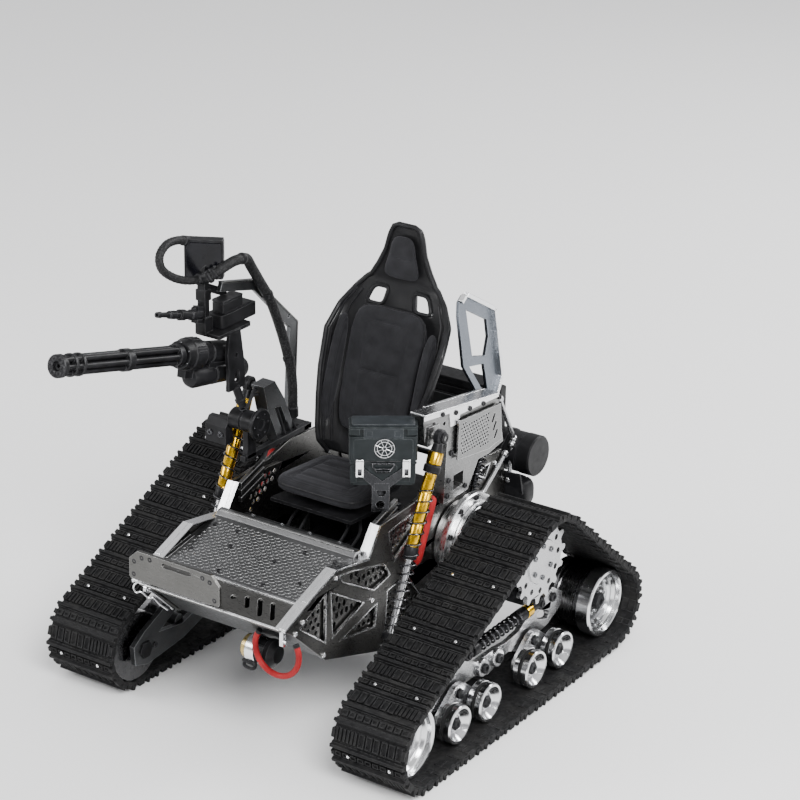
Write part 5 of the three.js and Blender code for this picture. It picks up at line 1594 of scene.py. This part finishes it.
def gun():
    """The barrel cluster with its rings, and the cradle with the receiver and the motor below it."""
    barrels = Form()
    for shift in round_gun(6, 3.9):
        start = GUN_PIVOT + GUN_LINE * BREECH + shift
        length = GUN_REACH - BREECH - 0.3
        barrels.lathe([(0, 0), (0, 1.5), (length - 0.3, 1.5), (length, 1.25), (length, 0.85),
                       (length - 3, 0.8), (length - 3, 0)], start, GUN_LINE, 16)
    barrels.lathe([(BREECH, 0), (BREECH, 1.9), (GUN_REACH - 2, 1.9), (GUN_REACH - 2, 1.1), (GUN_REACH - 5, 1),
                   (GUN_REACH - 5, 0)], GUN_PIVOT, GUN_LINE, 18)
    inner, chamfer = 2.6, 0.35
    for at, width, r in ((BREECH, 4, 5.95), (78.5, 5, 5.9), (GUN_REACH - 17.5, 1.8, 5.95),
                         (GUN_REACH - 11.5, 1.8, 5.95), (GUN_REACH - 4, 3.4, 5.95)):
        end = at + width
        barrels.lathe([(at, inner), (at, r - chamfer), (at + chamfer, r), (end - chamfer, r),
                       (end, r - chamfer), (end, inner)], GUN_PIVOT, GUN_LINE, 40, ring=True)
    make("gun_barrels", barrels, BLACK_METAL, "gun_barrels", "black_metal", "gun_barrels", sharp=30)
    cradle, screws = Form(), Form()
    on_gun(20, cradle, [(0, 0), (0, 6.8), (1.6, 7.9), (3, 8.2), (3.2, 8.7), (11.5, 8.7), (12, 8.2),
                        (14.4, 7.8), (16.6, 7.4), (16.9, 6.9), (16.9, 0)], 44)
    on_gun(-2, cradle, [(0, 0), (0, 4.8), (1.2, 6), (15, 6.2), (15.4, 5.6), (17, 5.6), (17.4, 6.4),
                        (22.4, 6.8), (22.4, 0)], 36)
    motor = Vector((GUN_X, 8, 162))
    nose_end = Vector((GUN_X, -38, 170))
    reach = (nose_end - motor).length
    cradle.lathe([(0, 0), (0, 3.4), (0.9, 5.1), (2.4, 5.9), (12, 6), (12.3, 5.5), (13.4, 5.5), (13.7, 6),
                  (28, 6), (28.4, 5.3), (30, 5.3), (30.4, 5.9), (reach - 3, 5.9), (reach - 0.8, 4.8),
                  (reach, 3), (reach, 0)], motor, nose_end - motor, 36)
    side, up = square_to(GUN_LINE)
    for i in range(9):
        angle = math.radians(200 + 17.5 * i)
        rib = GUN_PIVOT + GUN_LINE * 27 + (side * math.cos(angle) + up * math.sin(angle)) * 8.4
        cradle.rod(rib - GUN_LINE * 3.4, rib + GUN_LINE * 3.6, 0.62, 8)
    cradle.plate("x", [(-26, 167), (-4, 165), (-2, 172), (-6, 178), (-24, 181)], GUN_X - 4, GUN_X + 4)
    cradle.plate("x", [(-44, 172), (-30, 168), (-28, 180), (-42, 184)], GUN_X - 2.6, GUN_X + 2.6)
    cradle.rod(GUN_PIVOT, (-54.9, *GUN_PIVOT.yz), 2.9, 20)
    for x, along_x in ((GUN_X + 3.8, LEFTWARD), (GUN_X - 3.8, RIGHTWARD)):
        screws.bolts(x, ((-20, 177.5), (-8, 172), (-14, 167.6)), 1.2, 1, along_x)
    for shift in round_gun(6, 6.6, math.pi / 6):
        screws.bolt(GUN_PIVOT + GUN_LINE * (BREECH - 1) + shift, GUN_LINE, 0.7, 0.6)
    make("gun_cradle", cradle, BLACK_METAL, "gun_cradle", "black_metal", "gun_cradle", bevel=0.25, sharp=30)
    make("gun_screws", screws, SPRING, "gun_cradle", "black_metal")


def turret_post():
    """The stem, its plates and boxes, the pointer, and the screen with its case and hood."""
    post, boxes, small, lid, bits = Form(), Form(), Form(), Form(), Form()
    stem_top = Vector((-53, -9.4, 158))
    stem_low = Vector((-51, -6, 146.2))
    post.rod(stem_low, stem_top, 2.3, 18)
    post.lathe([(0, 2.2), (0, 3), (1.6, 3), (1.6, 2.2)], stem_low + (stem_top - stem_low) * 0.25,
               stem_top - stem_low, 20, ring=True)
    post.plate("x", [(-16.4, 157), (-3, 156.6), (-2.2, 160), (-3, 172), (-6, 190), (-15, 190), (-17, 178),
                     (-16, 168)], -54.2, -52.1, [disc((-9.5, 176), 1.2), disc((-9, 164), 2, 14, 1.5)])
    post.plate("z", rounded((GUN_X - 7, -24), (-52.2, 4), 2), 188.7, 190.8)
    for outline, low, high in (
        ([(-23.8, 188.8), (-20.2, 188.8), (-20.2, 228), (-22, 229), (-24, 226)], -4.4, 0.6),
        ([(-25, 190), (-18.6, 190), (-18.6, 198), (-19.4, 199), (-25, 199)], -5.2, 1.4),
        ([(-24.6, 208), (-19.4, 208), (-19.4, 214), (-24.6, 214)], -5, 1.2),
        ([(-24, 214), (-8, 206.4), (-4, 206.4), (-4, 209), (-20, 217)], -2.4, -0.6),
    ):
        post.plate("x", outline, GUN_X + low, GUN_X + high)
    boxes.plate("z", rounded((GUN_X - 5.4, -16), (GUN_X + 5.4, 14), 1.6), 191, 198.4)
    boxes.plate("z", rounded((GUN_X - 4.2, -13), (GUN_X + 4.2, 12), 1.8), 198.2, 199)
    small.plate("z", rounded((GUN_X - 2.8, -14), (GUN_X + 4.8, 3), 0.8), 199.2, 204.4)
    lid.plate("z", rounded((GUN_X - 3, -14.1), (GUN_X + 5, 3), 0.9), 204.6, 205.9)
    pointer = Vector((GUN_X - 2, -24.4, 200.4))
    tip = Vector((GUN_X - 2, -60, 211))
    reach = (tip - pointer).length
    bits.lathe([(0, 0), (0, 2.4), (1, 2.9), (9, 2.9), (9.6, 2.4), (14, 2.4), (14.5, 2.9), (18.5, 2.9),
                (19, 2.0), (22, 1.8), (22.5, 2.3), (27, 2.1), (27.5, 1.5), (reach - 3, 1.3),
                (reach - 2.8, 1.7), (reach, 1.5), (reach, 0.8), (reach - 2, 0.7), (reach - 2, 0)],
              pointer, tip - pointer, 24)
    bits.plate("x", [(-30, 197.5), (-24, 196), (-20.4, 196), (-20.4, 204), (-28, 206.4)], GUN_X - 4, GUN_X)
    bits.bolt((GUN_X - 2, -30, 204.6), (0, -0.28, 1), 1.3, 1.6)
    half, deep, tall = 10.2, 5, 10.8
    screen, case, hood = Form(SCREEN), Form(SCREEN), Form(SCREEN)
    screen.plate("y", rounded((1.1 - half, 0.9 - tall), (half - 1.1, tall - 1.8), 0.8), 0.05 - deep, 1 - deep)
    case.plate("y", rounded((-half, -tall), (half, tall), 1.2), 0.6 - deep, 5.4 - deep)
    case.plate("y", rounded((1.2 - half, 1.4 - tall), (half - 1.2, tall - 1.6), 1.2), 5 - deep, deep - 0.2)
    hood.plate("z", rounded((0.2 - half, -deep), (half - 0.2, 6 - deep), 0.8), tall - 1.5, tall - 0.05)
    for x in (-7, 0, 7):
        bits.bolt(SCREEN @ Vector((x, deep - 0.6, -7.5)), SCREEN.to_3x3() @ Vector((0, 1, 0)), 0.9, 0.5)
    make("turret_post", post, BLACK_METAL, "turret", "black_metal", "turret_post", bevel=0.3)
    make("turret_box", boxes, BLACK_PLASTIC, "turret", "black_plastic", bevel=0.6)
    make("turret_small_box", small, BLACK_PLASTIC, "turret", "black_plastic", bevel=0.3)
    make("turret_small_lid", lid, BLACK_METAL, "turret", "green_grey", bevel=0.3)
    make("turret_pointer", bits, BLACK_METAL, "turret", "black_metal", sharp=30)
    make("turret_screen", screen, GLASS, "turret", "black_plastic", bevel=0.2)
    make("turret_screen_case", case, BLACK_PLASTIC, "turret", "black_plastic", bevel=0.4)
    make("turret_screen_hood", hood, BLACK_METAL, "turret", "green_grey", bevel=0.25)
    hand_loop()


def hand_loop():
    """The sleeved loop from the screen's corner round to the fitting below it."""
    path = smooth_path([(-71.5, -25, 239.5), (-69.5, -36, 243.2), (-67.6, -47, 244.2), (-66.2, -54.2, 240.5),
                        (-65.4, -53.6, 233.5), (-64.6, -45, 226.6), (-64, -34, 222), (-63.6, -22, 219.8)], 70)
    loop, fittings = Form(), Form()
    loop.tube(path, lambda s: 2.2 + 0.12 * math.sin(s * 260), 12)
    for at, toward in ((path[0], path[3]), (path[-1], path[-4])):
        fittings.rod(at, toward + (toward - at) * 0.6, 2.7, 16, 0.4)
    fittings.rod((-65.4, -24.4, 220.2), (-58.8, -23.6, 222.2), 3.1, 18, 0.6)
    fittings.rod((-60.6, -24, 219.6), (-60.2, -23.4, 225.4), 2.4, 14, 0.5)
    over = smooth_path([(-61, -23.8, 221.4), (-58.4, -23.6, 222.4), (-54.4, -19.8, 226), (-51.7, -13, 228.9),
                        (-51, -7, 229)], 40)
    loop.tube(over, lambda s: 2.8 + 0.1 * math.sin(s * 150), 14)
    for k in (10, 15):
        toward = over[k + 1] - over[k - 1]
        clamp = [(-1.1, 2.2), (-1.1, 3.2), (-0.7, 3.5), (0.7, 3.5), (1.1, 3.2), (1.1, 2.2)]
        fittings.lathe(clamp, over[k], toward, 20, ring=True)
        fittings.rod(over[k] + Vector((0.4, -0.6, 3.2)), over[k] + Vector((0.4, -0.6, 4.6)), 0.8, 10)
    ball = [(-3.2 * math.cos(a), 3.2 * math.sin(a)) for a in (math.pi * k / 12 for k in range(13))]
    fittings.lathe(ball, (-51, -6, 228.9), "z", 26)
    make("turret_loop", loop, BRAID, "turret", "black_plastic", sharp=60)
    make("turret_fittings", fittings, BLACK_METAL, "turret", "black_metal")


def turret_hose():
    """The fixed hose from the turning axis above the turret down along the inside of the bar."""
    points = [(-51, -4.9, 228.7), (-51.5, -1, 227), (-53, 5, 220.4), (-53.2, 11, 212.2), (-53.2, 21.6, 196.8),
              (-53, 30.2, 178.3), (-51.2, 35, 160), (-50, 36.6, 146.7), (-49.8, 37, 126)]
    path = smooth_path(points, 150)
    hose = Form().tube(path, lambda s: 2.78 + 0.1 * math.sin(s * 480), 14)
    make("turret_hose", hose, BRAID, "root", "black_plastic", "turret_hose", sharp=60)
    ties = Form()
    for k in (70, 112):
        toward = path[k + 1] - path[k - 1]
        x, y, z = path[k]
        ties.band(path[k], toward, 0.7, 2.6, 3.2, 22)
        ties.box((x + 1.4, x + 3.4), (y - 3.6, y - 2), (z - 1.2, z + 0.8))
    ties.rod(path[-1], path[-1] + Vector((0, -0.3, 6)), 3.2, 18, 0.4)
    make("hose_ties", ties, BLACK_PLASTIC, "root", "black_plastic")


def turret_arm():
    """The gooseneck bar with its bright edge, its foot, the pivot drum and the cables beside it."""
    neck, edge, base, drum, screws = Form(), Form(), Form(), Form(), Form()
    outline = [(-17, 212.5), (12, 205), (44, 174), (41, 117), (48, 117), (51, 176), (14, 210.5), (-15, 217.4)]
    holes = [disc((42.6, 181.4), 1.1), disc((46.6, 130), 1.2), disc((46.2, 122), 1.2)]
    neck.plate("x", outline, -59.3, -56.7, holes)
    edge.edging(outline[4:], 0.9, -59.6, -56.4)
    base.plate("z", [(-57, 41), (-45, 41), (-45, 48), (-57, 48)], 117, 120.2)
    base.plate("z", [(-48.3, -12), (-45, -12), (-45, 48), (-48.3, 48)], 117.1, 120.3)
    base.plate("x", [(-10, 118), (-2, 118), (-2.4, 138), (-9.4, 138)], -48.3, -45)
    base.plate("x", [(-13, 124), (-6.6, 124), (-6.6, 138), (-10, 138), (-13, 134)], -70.8, -57.2)
    for x in (-67.6, -60.6):
        screws.bolt((x, -12.7, 129.5), (0, -1, 0), 1.8, 0.9)
    drum.lathe([(-57.3, 0), (-57.3, 5.2), (-56.6, 5.9), (-50, 5.9), (-49.7, 5.3), (-48.6, 5.3), (-48.3, 6),
                (-41.2, 6), (-41, 8.2), (-40.6, 8.6), (-39.2, 8.6), (-38.7, 8.1), (-38.7, 3), (-39.4, 2.8),
                (-39.4, 0)], (0, *DRUM), sides=44)
    screws.bolts(-38.9, ring_spots(6, 5.8, DRUM), 0.8, 0.6)
    screws.bolt((-51, -6, 143.7), "z", 2.2, 1.2)
    make("turret_arm", neck, GUNMETAL, "root", "black_metal", "turret_arm", bevel=0.3)
    make("turret_arm_edge", edge, SATIN, "root", "aluminium", bevel=0.15)
    make("turret_base", base, BLACK_METAL, "root", "black_metal", bevel=0.3)
    make("turret_drum", drum, BLACK_METAL, "root", "black_metal", sharp=30)
    make("turret_screws", screws, SPRING, "root", "black_metal")
    cables = Form()
    for i in range(3):
        cables.tube(smooth_path([(-52 - i, -1 + i, 142), (-52.6 - 0.6 * i, 7 + 2 * i, 148 + 2 * i),
                                 (-50 - i, 20 + 3 * i, 140 + i), (-46.8, 26 + 5 * i, 120)], 30), 0.62, 8)
    make("turret_cables", cables, BLACK_PLASTIC, "root", "black_plastic")


# ---------- stage, light and camera ----------
def stage():
    """The pale floor and a soft sky that is darkest just above the horizon."""
    ground = bpy.data.meshes.new("ground")
    reach = 6.0
    ground.from_pydata([(-reach, -reach, 0), (reach, -reach, 0), (reach, reach, 0), (-reach, reach, 0)], [],
                       [(0, 1, 2, 3)])
    floor = bpy.data.objects.new("ground", ground)
    f = Finish("stage_floor", 0.7, 0.0, specular=0.2)
    f.link(f.mix(f.noise(300, 2.0), (0.93, 0.93, 0.93), (0.95, 0.95, 0.95)), "Base Color")
    ground.materials.append(f.material)
    bpy.context.scene.collection.objects.link(floor)
    world = bpy.data.worlds.new("studio")
    bpy.context.scene.world = world
    world.use_nodes = True
    nodes, links = world.node_tree.nodes, world.node_tree.links
    place = nodes.new("ShaderNodeTexCoord").outputs["Generated"]
    height = nodes.new("ShaderNodeSeparateXYZ")
    links.new(place, height.inputs["Vector"])
    ramp = nodes.new("ShaderNodeValToRGB")
    stops = ramp.color_ramp.elements
    stops[0].position, stops[0].color = 0.0, (0.9, 0.9, 0.9, 1)
    stops[1].position, stops[1].color = 1.0, (1, 1, 1, 1)
    low = stops.new(0.12)
    low.color = (0.32, 0.32, 0.33, 1)
    high = stops.new(0.55)
    high.color = (0.62, 0.62, 0.64, 1)
    links.new(height.outputs["Z"], ramp.inputs["Fac"])
    links.new(ramp.outputs["Color"], nodes["Background"].inputs["Color"])
    nodes["Background"].inputs["Strength"].default_value = 1.12


def lamp(name, place, target, size, power):
    light = bpy.data.lights.new(name, "AREA")
    light.shape = "RECTANGLE"
    light.size, light.size_y = size
    light.energy = power
    holder = bpy.data.objects.new(name, light)
    holder.location = place
    holder.rotation_euler = (Vector(target) - Vector(place)).to_track_quat("-Z", "Y").to_euler()
    bpy.context.scene.collection.objects.link(holder)


def lights():
    middle = (0, 0, 0.1)
    lamp("key", (0.9, -0.7, 1.1), middle, (0.7, 0.7), 30)
    lamp("fill", (-1.1, -0.9, 0.7), middle, (0.9, 0.5), 14)
    lamp("rim", (0.5, 1.2, 0.9), middle, (0.9, 0.4), 18)
    lamp("side", (1.3, 0.1, 0.35), middle, (0.5, 0.25), 4)


def camera():
    """A long lens in front of the machine's left side, turned a little about its own axis."""
    right = Vector((0.82573, 0.56384, 0.01629))
    up = Vector((-0.22771, 0.30677, 0.92414))
    back = right.cross(up)
    eye_at = Vector((0.74925, -1.04613, 0.69210))
    lens = bpy.data.cameras.new("camera")
    lens.sensor_width = 36
    lens.lens = 120.65
    lens.clip_start, lens.clip_end = 0.01, 50
    holder = bpy.data.objects.new("camera", lens)
    holder.matrix_world = Matrix.Translation(eye_at) @ Matrix((right, up, back)).transposed().to_4x4()
    bpy.context.scene.collection.objects.link(holder)
    bpy.context.scene.camera = holder


def build():
    for part in (camera, stage, lights, track_belt, road_wheels, idlers, sprockets, pod_frame,
                 bogies, pod_damper, shocks, hub_flanges, side_trusses, side_details, footplate,
                 nose, seat_shell, pads, ammo_box, upper_plates, rear_frame, rear_wall, rear_boxes,
                 inside_tub, keep_nodes, gun, turret_post, turret_hose, turret_arm):
        part()


build()
